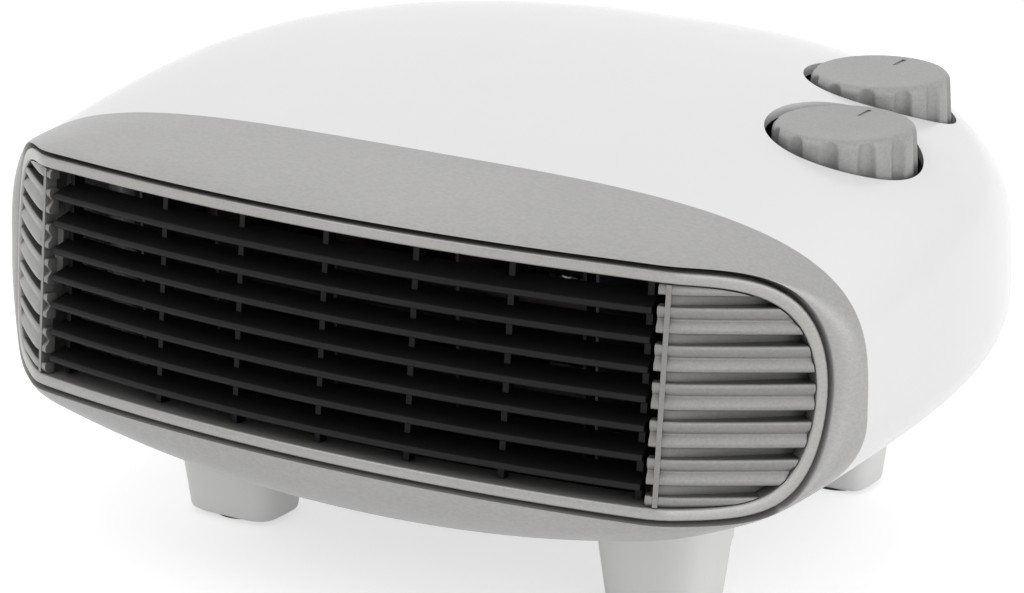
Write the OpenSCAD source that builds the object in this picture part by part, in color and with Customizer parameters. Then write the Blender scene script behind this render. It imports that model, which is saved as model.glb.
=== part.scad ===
// Portable flat fan heater with a crowned housing, a bowed outlet and two rotary controls.
// Body coordinates: x to the right, s back from the front, z up from the mid-plane of the housing.

/* [Body] */
// Overall width
body_w = 260; // [240:2:290]
// Overall depth, front of the bezel to the rear of the inlet grille
body_d = 226.6; // [216:0.2:240]
// Height of the housing above its mid-plane where it meets the bezel
front_h = 48.2; // [47.6:0.2:50]
// Height of the crown above the mid-plane
crown_h = 58.4; // [57:0.2:61]
// Distance of the top of the crown behind the front
crown_s = 135; // [126:1:142]
// Depth of the belly below the mid-plane
belly_h = 46.4; // [45:0.2:49]
// Wall thickness of the mouldings
wall = 2.5; // [2:0.1:3]
// Squareness of the upper cross section from the bezel to the knobs, 2 is an ellipse
top_squareness = 3.72; // [3.4:0.02:4]
// Squareness of the upper cross section at the rear end
rear_squareness = 1.94; // [1.8:0.02:2.4]
// Squareness of the lower cross section
belly_squareness = 2.06; // [2:0.02:2.4]
// Squareness of the plan behind the bezel
plan_squareness = 3.42; // [3.2:0.02:4]
// Clearance between mouldings that seat in each other
fit = 0.2; // [0.1:0.05:0.3]

/* [Bezel] */
// Depth of the bezel from the front to its joint with the housing
bezel_d = 50.5; // [48:0.1:53]
// Length of the spigot that enters the housing
spigot_l = 4; // [3:0.5:6]
// Thickness of the spigot
spigot_t = 1.6; // [1.2:0.1:2]
// Depth of the return flange round the outlet
flange_d = 5; // [4:0.5:6]
// Thickness of the return flange at the ends of the outlet
flange_t = 1.2; // [0.9:0.1:1.4]
// Thickness of the bezel's skin
skin_t = 1.8; // [1.4:0.1:2.2]
// Shadow gap between the bezel and the outlet frame
shadow_gap = 1.3; // [0.8:0.1:2]

/* [Outlet] */
// Backward lean of the outlet face in degrees
face_lean = 5.8; // [4:0.1:7]
// Radius of the bowed middle of the outlet
bow_r = 377.6; // [350:0.2:410]
// Half width of the bowed middle
bow_half_w = 91.7; // [88:0.1:94]
// Radius of the corners that the outlet wraps round
corner_r = 42.7; // [40:0.1:45]
// How far the outlet runs round each corner, in degrees from straight ahead
wrap_angle = 73; // [68:1:76]
// Height of the outlet
outlet_h = 61.4; // [58:0.2:63]
// Height of the lower edge of the outlet above the belly
lip_h = 26.7; // [25:0.1:28]
// Width of the outlet frame
frame_w = 3; // [2.5:0.1:4]
// Depth of the outlet frame
frame_d = 12; // [11:0.5:14]
// Number of black slats
slat_count = 7; // [5:1:7]
// Distance between the slats
slat_pitch = 7.25; // [6.8:0.05:7.4]
// Thickness of a slat
slat_t = 2; // [1.6:0.1:2.6]
// Depth of a slat
slat_d = 8; // [6:0.5:9]
// Tilt of the slats in degrees, front edge down
slat_tilt = 24; // [15:1:30]
// Number of whole silver louvres at each end
louvre_count = 5; // [4:1:6]
// Height of the dark slot between two louvres
louvre_slot = 2.6; // [2:0.1:3.4]
// Depth of the slots between the louvres at their outer end
louvre_d = 6.5; // [5:0.5:7]

/* [Inlet] */
// Depth of the inlet grille behind its joint with the housing
inlet_d = 27; // [25:0.5:29]
// Number of inlet slots
inlet_slots = 7; // [5:2:9]
// Pitch of the inlet slots
inlet_pitch = 8; // [7:0.5:8.5]
// Height of an inlet slot
inlet_slot_h = 4; // [3:0.5:5]

/* [Controls] */
// Diameter of a knob
knob_d = 38; // [34:0.5:40]
// Height of a knob
knob_h = 16.5; // [15:0.5:18]
// Number of flutes round a knob
flute_count = 12; // [10:1:16]
// Diameter of a flute
flute_d = 6; // [4:0.5:7]
// Distance between the knobs
knob_pitch = 44; // [43.2:0.2:46]
// Distance of the middle of the knob row from the centre line
knob_x = 87.2; // [85:0.2:89]
// Distance of the middle of the knob row behind the front
knob_s = 128.8; // [126:0.2:131]
// Turn of the knob row towards the centre line, in degrees
knob_row_turn = 14.8; // [12:0.2:17]
// Height of the front knob's top above the mid-plane
front_knob_top = 55.2; // [53:0.2:57]
// Height of the rear knob's top above the mid-plane
rear_knob_top = 57.4; // [55:0.2:59]
// Clearance between a knob and its well
knob_gap = 1.2; // [0.8:0.1:1.6]
// Diameter of a spindle
spindle_d = 6; // [5:0.5:7]

/* [Fan] */
// Diameter of the fan
fan_d = 74; // [68:1:76]
// Clearance between the blades and the shroud ring
blade_gap = 1.5; // [1:0.1:2]
// Height of the fan axis above the mid-plane
fan_z = 3.5; // [3:0.5:5]
// Number of blades
blade_count = 7; // [5:1:9]
// Diameter of the fan hub
hub_d = 22; // [20:1:26]
// Depth of the fan
fan_depth = 18; // [15:1:20]
// Diameter of the shaft
shaft_d = 4; // [3:0.5:5]
// Radial running clearance in the bearings
run_gap = 0.03; // [0.02:0.01:0.05]

/* [Motor] */
// Diameter of the rotor
rotor_d = 24; // [22:0.5:26]
// Air gap round the rotor
air_gap = 0.4; // [0.3:0.1:0.6]
// Thickness of the lamination stack
stack_t = 14; // [12:1:16]
// Height of the laminations
core_h = 42; // [40:1:46]
// Outer diameter of a bearing
bearing_d = 9; // [8:0.5:10]

/* [Element] */
// Width of the heater duct
duct_w = 138; // [130:1:144]
// Height of the heater duct
duct_h = 64; // [60:1:66]
// Sheet thickness of the duct
sheet_t = 0.8; // [0.6:0.1:1]
// Number of runs in each heating coil
coil_runs = 5; // [4:1:6]
// Distance between the runs
coil_pitch = 12; // [10:0.5:12.5]
// Diameter of a heating coil
coil_d = 4.8; // [4:0.2:5.4]
// Number of mica boards
board_count = 4; // [3:1:5]
// Thickness of a mica board
board_t = 1; // [0.8:0.1:1.4]

/* [Feet] */
// Height of the belly above the floor
foot_h = 22; // [18:0.5:25]
// Width of a front foot at the belly
foot_w = 34; // [30:1:38]
// Length of a front foot at the belly
foot_l = 26; // [24:1:30]
// Distance of each front foot from the centre line
foot_x = 66; // [62:0.5:70]
// Distance of the front feet behind the front
foot_s = 66; // [65:1:72]
// Distance of each rear foot from the centre line
rear_foot_x = 62; // [56:1:66]
// Distance of the rear feet behind the front
rear_foot_s = 172; // [166:1:176]
// Diameter of a rubber pad
pad_d = 16; // [12:1:18]
// Height of a rubber pad
pad_t = 2.5; // [2:0.1:3]

/* [Fasteners] */
// Shank diameter of a housing screw
screw_d = 3; // [2.5:0.1:3.5]
// Head diameter of a housing screw
screw_head_d = 6; // [5.5:0.1:6.5]
// Length of a housing screw under its head
screw_l = 26; // [22:1:30]

/* [Hidden] */
$fn = 48;

// Heights and places that follow from the sizes above
mid_z = foot_h + belly_h;
nose_s = body_d + 2;
rear_s = body_d - inlet_d;
nose_power = 10.6;
top_root = 3.4;
belly_root = 2;
round_from = 0.3;
arc_n = 36;
row_n = 14;
clip_n = 20;

// The knob row, front knob first
function knob_at(k) = [knob_x + (k - 0.5) * -knob_pitch * sin(knob_row_turn),
    knob_s + (k - 0.5) * knob_pitch * cos(knob_row_turn)];
function knob_top(k) = k == 0 ? front_knob_top : rear_knob_top;
knob_lift = 0.6;
function well_floor(k) = knob_top(k) - knob_h - knob_lift;
well_r = knob_d / 2 + knob_gap;

// Housing form: half width, upper height and lower height at a distance s behind the front
function run(s) = max(0, (s - bezel_d) / (nose_s - bezel_d));
function plan_w(s) = body_w / 2 * sqrt(1 - pow(run(s), plan_squareness));
function crown(s) = crown_h - (crown_h - front_h) * pow((s - crown_s) / (crown_s - bezel_d), 2);
function upper_z(s) = crown(s) * pow(1 - pow(run(s), nose_power), 1 / top_root);
function lower_z(s) = belly_h * pow(1 - pow(run(s), nose_power), 1 / belly_root);
function top_power(s) = top_squareness - (top_squareness - rear_squareness)
    * pow(max(0, run(s) - round_from) / (1 - round_from), 2);
function steep(a, b) = sqrt(1 + (b - a) * (b - a));
function sec_w(s, inset) = plan_w(s) - inset * steep(plan_w(s - 0.5), plan_w(s + 0.5));
function sec_up(s, inset) = upper_z(s) - inset * steep(upper_z(s - 0.5), upper_z(s + 0.5));
function sec_dn(s, inset) = lower_z(s) - inset * steep(lower_z(s - 0.5), lower_z(s + 0.5));
function arch(f, power) = pow(max(0, 1 - pow(abs(f), power)), 1 / power);
function belly_at(x, s, inset = 0) = -sec_dn(s, inset) * arch(x / sec_w(s, inset), belly_squareness);

// Station j of a closed ring of 2n stations, from the right over the top to the left and back
function across(j, n) = j <= n ? sin(90 * (1 - 2 * j / n)) : -sin(90 * (1 - 2 * (j - n) / n));
function body_pt(j, n, s, inset) = let (f = across(j, n))
    [sec_w(s, inset) * f, s, j > n ? -sec_dn(s, inset) * arch(f, belly_squareness)
        : sec_up(s, inset) * arch(f, top_power(s))];
function body_ring(s, inset, n) = [for (j = [0:2 * n - 1]) body_pt(j, n, s, inset)];
function rows(a, b, n) = [for (i = [0:n]) a + (b - a) * i / n];

// Solid through a list of rings with equal counts, closed on itself or by ends.
// Flat ends are one face, and strip ends join the first half of a ring to its second half.
function side_faces(r, n, closed) = [for (i = [0:r - (closed ? 1 : 2)], j = [0:n - 1])
    let (a = i * n + j, b = i * n + (j + 1) % n, k = (i + 1) % r, c = k * n + (j + 1) % n, d = k * n + j)
    each [[a, b, c], [a, c, d]]];
function strip_faces(n, m) = [for (j = [0:n / 2 - 2]) let (a = m + j, b = m + j + 1, c = m + n - 2 - j,
    d = m + n - 1 - j) each [[a, c, b], [a, d, c]]];
function flipped(faces) = [for (f = faces) [f[2], f[1], f[0]]];
module loft(rings, closed = false, strips = false) {
    r = len(rings);
    n = len(rings[0]);
    last = (r - 1) * n;
    ends = closed ? [] : strips ? concat(strip_faces(n, 0), flipped(strip_faces(n, last)))
        : [[for (j = [n - 1:-1:0]) j], [for (j = [0:n - 1]) last + j]];
    polyhedron(points = [for (g = rings) each g], faces = concat(side_faces(r, n, closed), ends),
        convexity = 8);
}

// Places children given in body coordinates
module place() {
    translate([0, shift_s - body_d / 2, mid_z]) children();
}
shift_s = shadow_gap * sin(face_lean);

// Solid bounded by the housing surface set in by inset
module body_core(inset, s0, s1, n) {
    loft([for (s = rows(s0, s1, n)) body_ring(s, inset, clip_n)]);
}

// Half shell of the housing, upper for side 1 and lower for side 0
function half_ring(s, side) = let (first = side == 1 ? 0 : arc_n)
    concat([for (j = [0:arc_n]) half_pt(first + j, s, 0)],
        [for (j = [arc_n:-1:0]) half_pt(first + j, s, wall)]);
function half_pt(j, s, inset) = j >= 2 * arc_n ? [sec_w(s, inset), s, 0] : body_pt(j, arc_n, s, inset);
module half_shell(side) {
    loft([for (s = rows(bezel_d, rear_s, row_n)) half_ring(s, side)], strips = true);
}

// Screw posts that join the two halves
post_s = [bezel_d + 14, rear_s - 24];
post_x = [104, 88];
post_r = screw_head_d / 2 + 1.6;
boss_r = screw_d / 2 + 2.2;
head_z = -18;
module at_posts() {
    for (i = [0:1], side = [-1, 1]) translate([side * post_x[i], post_s[i], 0]) children();
}
// Posts of a radius, upper for side 1 and lower for side -1, ending inside the shell
module posts(r, side) {
    for (i = [0:1]) intersection() {
        body_core(wall / 2, post_s[i] - r - 1, post_s[i] + r + 1, 2);
        for (end = [-1, 1]) translate([end * post_x[i], post_s[i], side > 0 ? 0 : -belly_h])
            cylinder(r = r, h = side > 0 ? crown_h : belly_h);
    }
}

// Level pads on the belly that carry the duct, the shroud and the terminal block
duct_z = fan_z - duct_h / 2 - 0.5;
duct_front = bow_r - sqrt(bow_r * bow_r - duct_w * duct_w / 4) + outlet_h * sin(face_lean) + frame_d + 2;
duct_back = 118;
ring_r = fan_d / 2 + blade_gap;
shroud_t = 2.5;
shroud_s = rear_s - 32;
shroud_low = fan_z - ring_r - shroud_t;
block_w = 30;
block_l = 12;
block_h = 13;
block_x = -74;
block_s = shroud_s - 26;
block_z = -29;
module pad(x, s, w, l, level) {
    low = belly_at(abs(x) + w / 2, s, wall / 2);
    translate([x - w / 2, s - l / 2, low]) cube([w, l, level - low]);
}

// Outlet form: a bowed middle and two round corners, as a length along the curve
bow_angle = asin(bow_half_w / bow_r);
bow_len = bow_r * bow_angle * PI / 180;
corner_x = (bow_r - corner_r) * sin(bow_angle);
corner_s = bow_r - (bow_r - corner_r) * cos(bow_angle);
outlet_half = bow_len + corner_r * (wrap_angle - bow_angle) * PI / 180;
end_power = 13;
end_root = 2;
outlet_z = lip_h - belly_h;
function turn_at(l) = abs(l) <= bow_len ? abs(l) / bow_r * 180 / PI
    : bow_angle + (abs(l) - bow_len) / corner_r * 180 / PI;
function curve_x(l, d) = let (t = turn_at(l)) sign(l) * (t <= bow_angle ? (bow_r - d) * sin(t)
    : corner_x + (corner_r - d) * sin(t));
function curve_s(l, d) = let (t = turn_at(l)) t <= bow_angle ? bow_r - (bow_r - d) * cos(t)
    : corner_s - (corner_r - d) * cos(t);
function leaned(x, s, w) = [x, s * cos(face_lean) + w * sin(face_lean),
    outlet_z - s * sin(face_lean) + w * cos(face_lean)];
function outlet_w(f, grow) = (outlet_h / 2 + grow) * pow(max(0, 1 - pow(abs(f), end_power)), 1 / end_root);
function outlet_pt(j, grow, d) = let (f = across(j, arc_n), l = (outlet_half + grow) * f)
    leaned(curve_x(l, d), curve_s(l, d), outlet_h / 2 + (j > arc_n ? -1 : 1) * outlet_w(f, grow));
module face() {
    translate([0, 0, outlet_z]) rotate([-face_lean, 0, 0]) children();
}

// Ring of a constant section that follows the outlet, section points as [grow, depth]
module outlet_ring(section) {
    loft([for (j = [0:2 * arc_n - 1]) [for (q = section) outlet_pt(j, q[0], q[1])]], closed = true);
}

// Solid inside the outlet outline between two depths
module outlet_core(grow, d0, d1) {
    n = arc_n;
    m = 2 * n;
    pts = concat([for (j = [0:m - 1]) outlet_pt(j, grow, d0)], [for (j = [0:m - 1]) outlet_pt(j, grow, d1)]);
    front = [for (i = [0:n - 1]) let (a = i, b = i + 1, c = (m - i) % m, d = m - i - 1)
        each [if (a != c) [a, c, d], if (b != d) [a, d, b]]];
    back = [for (t = front) [t[2] + m, t[1] + m, t[0] + m]];
    polyhedron(points = pts, faces = concat(side_faces(2, m, false), front, back), convexity = 6);
}

// Sweeps a profile given as [depth, height] along the bowed middle
module bowed(half_angle) {
    translate([0, bow_r, 0]) rotate([0, 0, -90 - half_angle])
        rotate_extrude(angle = 2 * half_angle, $fn = 360) translate([bow_r, 0]) mirror([1, 0]) children();
}

// Bezel surface from the outlet to the housing joint, as a curve with one control point
bezel_steps = 7;
function joint_pt(j, inset) = let (f = across(j, arc_n)) [(body_w / 2 - inset) * f, bezel_d,
    j > arc_n ? -(belly_h - inset) * arch(f, belly_squareness) : (front_h - inset) * arch(f, top_squareness)];
lip_pull = 0.8;
brow_pull = 0.46;
curve_back = 0.1;
function pull(j) = let (f = abs(across(j, arc_n))) j > arc_n ? lip_pull
    : brow_pull + (lip_pull - brow_pull) * pow(f, 4);
function control_pt(a, b, m, back) = [a[0] + (b[0] - a[0]) * m, a[1] + (b[1] - a[1]) * back,
    a[2] + (b[2] - a[2]) * m];
function blend(a, c, b, u) = (1 - u) * (1 - u) * a + 2 * u * (1 - u) * c + u * u * b;
function bezel_curve(j, a, b, steps) = [for (i = [0:steps])
    blend(a, control_pt(a, b, pull(j), curve_back), b, i / steps)];
function reversed(v) = [for (i = [len(v) - 1:-1:0]) v[i]];
ring_n = 2 * arc_n;
function skin_row(j) = let (k = (j + ring_n) % ring_n)
    bezel_curve(k, outlet_pt(k, shadow_gap, 0), joint_pt(k, 0), bezel_steps);
function inward(here, next, last, i) = let (n = cross(here[i + 1] - here[i - 1], next[i] - last[i]))
    here[i] - skin_t * n / norm(n);
function at_end(j, power) = pow(abs(across(j, arc_n)), power);
function bezel_section(j) = let (here = skin_row(j), next = skin_row(j + 1), last = skin_row(j - 1),
    root = joint_pt(j, wall + fit + spigot_t), step = joint_pt(j, wall + fit), spigot = [0, spigot_l, 0],
    fore = inward(here, next, last, 3), aft = inward(here, next, last, 5), w = at_end(j, 8))
    concat([outlet_pt(j, fit, flange_d), outlet_pt(j, fit + flange_t * (0.4 + 0.6 * w), flange_d), fore,
        (1 - w) * aft + w * (fore + root) / 2, root, root + spigot, step + spigot, step], reversed(here));

module front_bezel() {
    color("silver") place() loft([for (j = [0:ring_n - 1]) bezel_section(j)], closed = true);
}

module outlet_frame() {
    nose = frame_w / 4;
    color("silver") place() outlet_ring([[-frame_w, nose], [-frame_w, frame_d], [0, frame_d], [0, nose],
        [-nose, 0], [nose - frame_w, 0]]);
}

// Slats, ribs and end posts of the black grille
grille_low = frame_w + fit;
grille_high = outlet_h - grille_low;
slat_gap = 2.4;
grille_angle = (bow_len - slat_gap) / bow_r * 180 / PI;
post_angle = (bow_len - slat_gap - 1.6) / bow_r * 180 / PI;
end_reach = outlet_w(bow_len / outlet_half, -grille_low) - fit;
slat_nose = 0.8;
rib_front = 5.5;
rib_back = slat_nose + slat_d;
rib_t = 1.6;
rib_angles = [-8, -4, 0, 4, 8];
slat_drop = slat_d * tan(slat_tilt) / 2;
module slat_profile() {
    reach = slat_d / cos(slat_tilt);
    rotate(slat_tilt) {
        translate([slat_t / 2, 0]) circle(d = slat_t, $fn = 24);
        translate([slat_t / 2, -slat_t / 2]) square([reach - slat_t, slat_t]);
    }
}
module upright(angle, reach) {
    translate([0, bow_r, 0]) rotate([0, 0, angle]) translate([-rib_t / 2, rib_front - bow_r, outlet_h / 2 - reach])
        cube([rib_t, rib_back - rib_front, 2 * reach]);
}
module outlet_grille() {
    color([0.07, 0.06, 0.06]) place() face() {
        for (k = [0:slat_count - 1]) let (mid = outlet_h / 2 + (k - (slat_count - 1) / 2) * slat_pitch)
            bowed(grille_angle) translate([slat_nose, mid - slat_drop]) slat_profile();
        for (a = rib_angles) upright(a, outlet_h / 2 - grille_low);
        for (side = [-1, 1]) upright(side * post_angle, end_reach);
    }
}

// Silver louvres with a groove along each face. The back plate lies further in towards the outer
// end, so the slots get deeper, and a post and short tips end the comb beside the black grille.
louvre_pitch = (grille_high - grille_low) / (louvre_count + 0.9);
louvre_face = louvre_pitch - louvre_slot;
louvre_n = louvre_count + 2;
louvre_back = 0.3;
groove_d = 1.2;
web_t = 1.4;
slot_start = 2;
comb_turn = turn_at(bow_len + 1);
comb_end = wrap_angle + 2;
tip_turn = 3;
post_turn = 2;
plate_mid = (comb_turn + wrap_angle) / 2;
plate_shift = (louvre_d - slot_start) / (2 * sin(wrap_angle - plate_mid));
plate_d = (louvre_d + slot_start) / 2;
// Direction from the plate's own axis to the point at turn t and depth d
function plate_turn(t, d) = atan2(plate_shift * cos(plate_mid) + (corner_r - d) * sin(t),
    (corner_r - d) * cos(t) - plate_shift * sin(plate_mid));
function louvre_low(k) = outlet_h / 2 + (k - (louvre_n - 1) / 2) * louvre_pitch - louvre_face / 2;
// Sweeps a profile given as [depth, height] round the corner, its axis moved back along the curve
module cornered(from, to, shift = 0) {
    translate([corner_x - shift * cos(plate_mid), corner_s - shift * sin(plate_mid), 0])
        rotate([0, 0, from - 90]) rotate_extrude(angle = to - from, $fn = 96)
            translate([corner_r, 0]) mirror([1, 0]) children();
}
module louvre_profile() {
    deep = louvre_d + web_t / 2 - louvre_back;
    polygon([[0, 0], [deep, 0], [deep, louvre_face], [0, louvre_face], [0, louvre_face * 3 / 4],
        [groove_d, louvre_face / 2], [0, louvre_face / 4]]);
}
module end_louvres() {
    color("silver") place() intersection() {
        outlet_core(-grille_low, -1, frame_d);
        face() for (side = [0, 1]) mirror([side, 0, 0]) {
            cornered(plate_turn(comb_turn + post_turn / 2, slot_start), plate_turn(comb_end, louvre_d),
                plate_shift) translate([plate_d, -1]) square([web_t, outlet_h + 2]);
            cornered(comb_turn, comb_turn + post_turn) translate([louvre_back - 0.1, -0.5])
                square([slot_start + web_t / 2, outlet_h + 1]);
            for (k = [0:louvre_n - 1]) cornered(comb_turn - tip_turn, comb_end)
                translate([louvre_back, louvre_low(k)]) louvre_profile();
        }
    }
}

module well_cups(r, drop) {
    for (k = [0, 1]) translate([knob_at(k)[0], knob_at(k)[1], well_floor(k) - drop])
        cylinder(r = r, h = crown_h);
}
collar_r = spindle_d / 2 + 1.8;
module upper_housing() {
    color([0.92, 0.92, 0.91]) place() difference() {
        union() {
            half_shell(1);
            intersection() {
                body_core(wall / 2, knob_s - 50, knob_s + 52, 8);
                well_cups(well_r + wall * 0.8, wall);
            }
            posts(boss_r, 1);
        }
        well_cups(well_r, 0);
        for (k = [0, 1]) translate([knob_at(k)[0], knob_at(k)[1], well_floor(k) - wall - 1])
            cylinder(r = collar_r + fit, h = wall + 2);
        at_posts() translate([0, 0, -1]) cylinder(d = screw_d, h = screw_l + head_z + 3);
    }
}

module lower_housing() {
    color([0.9, 0.9, 0.89]) place() difference() {
        union() {
            half_shell(0);
            posts(post_r, -1);
            for (side = [-1, 1], s = [60, 104]) pad(side * 52, s, 12, 10, duct_z);
            for (side = [-1, 1]) pad(side * 40, shroud_s + shroud_t / 2, 14, 7, shroud_low);
            pad(block_x, block_s, block_w, block_l, block_z);
        }
        at_posts() translate([0, 0, -belly_h - 1])
            cylinder(d = screw_head_d + 2 * fit, h = belly_h + 1 + head_z);
        at_posts() translate([0, 0, head_z - 1]) cylinder(d = screw_d + 2 * fit, h = 2 - head_z);
    }
}

// Inlet grille, a domed cup that closes the rear, with slots between its ribs
gland_x = -46;
gland_z = -31;
gland_r = 5;
gland_bore_r = 3.6;
gland_inside = 16;
gland_rim = 1.5;
rear_end = body_d - shift_s;
boss_r_out = 9;
boss_end = rear_end - 6;
dome_n = 7;
module rear_grille() {
    out = [for (s = rows(rear_s, rear_end, dome_n)) body_ring(s, 0, arc_n)];
    inn = [for (s = rows(rear_s, rear_end - wall, dome_n)) body_ring(s, wall, arc_n)];
    color([0.9, 0.9, 0.89]) place() difference() {
        union() {
            difference() {
                loft(concat(reversed(inn), out));
                for (k = [0:inlet_slots - 1], side = [-1, 1], part = [0, 1])
                    let (z = fan_z + (k - (inlet_slots - 1) / 2) * inlet_pitch,
                        reach = 0.74 * plan_w(rear_s + 6) * arch(z / belly_h, belly_squareness),
                        half = (reach - 6) / 2)
                        translate([side * (2 + (half + 1) * (part + 0.5)), rear_s + 5, z])
                            translate([-half / 2, 0, -inlet_slot_h / 2]) cube([half, body_d, inlet_slot_h]);
            }
            translate([gland_x, boss_end - gland_inside, gland_z]) rotate([-90, 0, 0])
                cylinder(r = boss_r_out, h = gland_inside);
        }
        translate([gland_x, rear_s, gland_z]) rotate([-90, 0, 0]) cylinder(r = gland_r, h = body_d);
    }
}

module cord_gland() {
    l = gland_inside;
    top = l + gland_rim;
    color("dimgray") place() translate([gland_x, boss_end - l, gland_z]) rotate([-90, 0, 0])
        rotate_extrude() polygon([[gland_bore_r, 0], [gland_r, 0], [gland_r, l], [gland_r + 2, l],
            [gland_r + 2, top], [gland_r + 0.6, top + 0.3], [gland_r, top + 1.4], [gland_bore_r, top + 1.4]]);
}

// Feet cut to the belly, with a hollow for the pad
foot_sides = 20;
foot_splay = 3;
foot_gap = 1;
function foot_ring(x, s, w, l, z) = [for (i = [0:foot_sides - 1]) let (a = 360 * i / foot_sides)
    [x + w / 2 * rounded(cos(a)), s + l / 2 * rounded(sin(a)), z]];
function rounded(v) = sign(v) * pow(abs(v), 0.5);
module foot(x, s, w, l) {
    difference() {
        loft([foot_ring(x, s, w - 2 * foot_splay, l - 2 * foot_splay, foot_gap - mid_z),
            foot_ring(x, s, w - 2, l - 2, -belly_h - 3), foot_ring(x, s, w, l, -belly_h + 2),
            foot_ring(x, s, w, l, belly_at(x + w / 2, s) + 3)]);
        body_core(-fit, s - l / 2 - 2, s + l / 2 + 2, 3);
        translate([x, s, -mid_z]) cylinder(d = pad_d, h = pad_t);
    }
}
module front_feet() {
    color([0.85, 0.85, 0.84]) place() for (side = [-1, 1]) foot(side * foot_x, foot_s, foot_w, foot_l);
}
module rear_feet() {
    color([0.85, 0.85, 0.84]) place()
        for (side = [-1, 1]) foot(side * rear_foot_x, rear_foot_s, foot_w - 6, foot_l - 4);
}
module foot_pads() {
    color("dimgray") place() for (side = [-1, 1], q = [[foot_x, foot_s], [rear_foot_x, rear_foot_s]])
        translate([side * q[0], q[1], -mid_z]) cylinder(d = pad_d, h = pad_t);
}

// Pan head screws, heads down
module screw(d, head, l) {
    cylinder(d = d, h = l);
    translate([0, 0, -head * 0.4]) difference() {
        cylinder(d = head, h = head * 0.4);
        for (a = [0, 90]) rotate([0, 0, a]) translate([-head * 0.3, -head * 0.07, -1])
            cube([head * 0.6, head * 0.14, 1 + head * 0.2]);
    }
}
module housing_screws() {
    color("gainsboro") place() at_posts() translate([0, 0, head_z]) screw(screw_d, screw_head_d, screw_l);
}

// Sheet steel duct round the heating element
module heat_duct() {
    t = sheet_t;
    color("lightgray") place() translate([-duct_w / 2, duct_front, duct_z]) difference() {
        cube([duct_w, duct_back - duct_front, duct_h]);
        translate([t, -1, t]) cube([duct_w - 2 * t, duct_back - duct_front + 2, duct_h - 2 * t]);
    }
}

// Mica boards across the duct, with a hole for each run of coil
coil_s = [52, 76];
board_front = 42;
board_l = 44;
coil_mid = duct_z + duct_h / 2;
board_span = duct_w - 26;
module element_boards() {
    color([0.75, 0.66, 0.45]) place() for (i = [0:board_count - 1])
        translate([board_span * (i / (board_count - 1) - 0.5) - board_t / 2, board_front, duct_z + sheet_t])
            difference() {
                cube([board_t, board_l, duct_h - 2 * sheet_t]);
                for (s = coil_s, r = [0:coil_runs - 1])
                    translate([-1, s - board_front, duct_h / 2 - sheet_t + run_z(r)])
                        rotate([0, 90, 0]) cylinder(d = coil_d + 0.6, h = board_t + 2);
            }
}
function run_z(r) = (r - (coil_runs - 1) / 2) * coil_pitch;
// One unbroken serpentine of coil, runs joined by half round bends
module heating_coil(s) {
    reach = board_span / 2 + 1.5;
    translate([0, s, coil_mid]) {
        for (r = [0:coil_runs - 1]) translate([-reach, 0, run_z(r)]) rotate([0, 90, 0])
            cylinder(d = coil_d, h = 2 * reach, $fn = 24);
        for (r = [0:coil_runs - 2]) translate([(r % 2 == 0 ? 1 : -1) * reach, 0, run_z(r) + coil_pitch / 2])
            rotate([90, 0, 0]) rotate([0, 0, r % 2 == 0 ? -90 : 90])
                rotate_extrude(angle = 180, $fn = 48) translate([coil_pitch / 2, 0]) circle(d = coil_d, $fn = 24);
    }
}
module heating_coil_front() {
    color("darkgray") place() heating_coil(coil_s[0]);
}
module heating_coil_rear() {
    color("darkgray") place() heating_coil(coil_s[1]);
}

// Bimetal cut-out on the roof of the duct and a fuse on its side
cutout_x = -30;
cutout_s = 96;
module thermal_cutout() {
    color("sienna") place() translate([cutout_x, cutout_s, duct_z + duct_h]) {
        cylinder(d = 16, h = 5);
        for (side = [-1, 1]) translate([side * 9 - 2.5, -3, 0]) cube([5, 6, 0.8]);
        for (side = [-1, 1]) translate([side * 4 - 0.4, -2.4, 4]) cube([0.8, 4.8, 5]);
    }
}
module thermal_fuse() {
    color("gainsboro") place() translate([-duct_w / 2 - 2, cutout_s - 14, fan_z]) {
        rotate([-90, 0, 0]) cylinder(d = 4, h = 11);
        translate([0, -6, 0]) rotate([-90, 0, 0]) cylinder(d = 1, h = 23);
    }
}

// Shroud plate with the ring that the fan runs in and the arms that carry the motor
motor_s = shroud_s + 10;
arm_w = 7;
screw_pitch = 34;
plate_w = 2 * (ring_r + 10);
module arms(l) {
    for (side = [-1, 1]) {
        translate([side * screw_pitch / 2, 0, 0]) cylinder(d = arm_w, h = l);
        translate([side * screw_pitch / 2 - arm_w / 2, -ring_r - 1, 0])
            cube([arm_w, 2 * ring_r + 2, shroud_t]);
    }
}
module on_axis(s) {
    translate([0, s, fan_z]) rotate([-90, 0, 0]) children();
}
module fan_shroud() {
    color([0.25, 0.25, 0.26]) place() on_axis(shroud_s) difference() {
        union() {
            difference() {
                union() {
                    translate([-plate_w / 2, -ring_r - shroud_t, 0])
                        cube([plate_w, 2 * ring_r + 2 * shroud_t, shroud_t]);
                    translate([0, 0, -fan_depth - 2]) cylinder(r = ring_r + shroud_t * 0.8,
                        h = fan_depth + 2 + shroud_t, $fn = 96);
                }
                translate([0, 0, -fan_depth - 3]) cylinder(r = ring_r, h = fan_depth + 10, $fn = 96);
            }
            arms(motor_s - shroud_s);
        }
        for (side = [-1, 1]) translate([side * screw_pitch / 2, 0, -1])
            cylinder(d = screw_d, h = motor_s - shroud_s + 2);
    }
}

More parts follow.
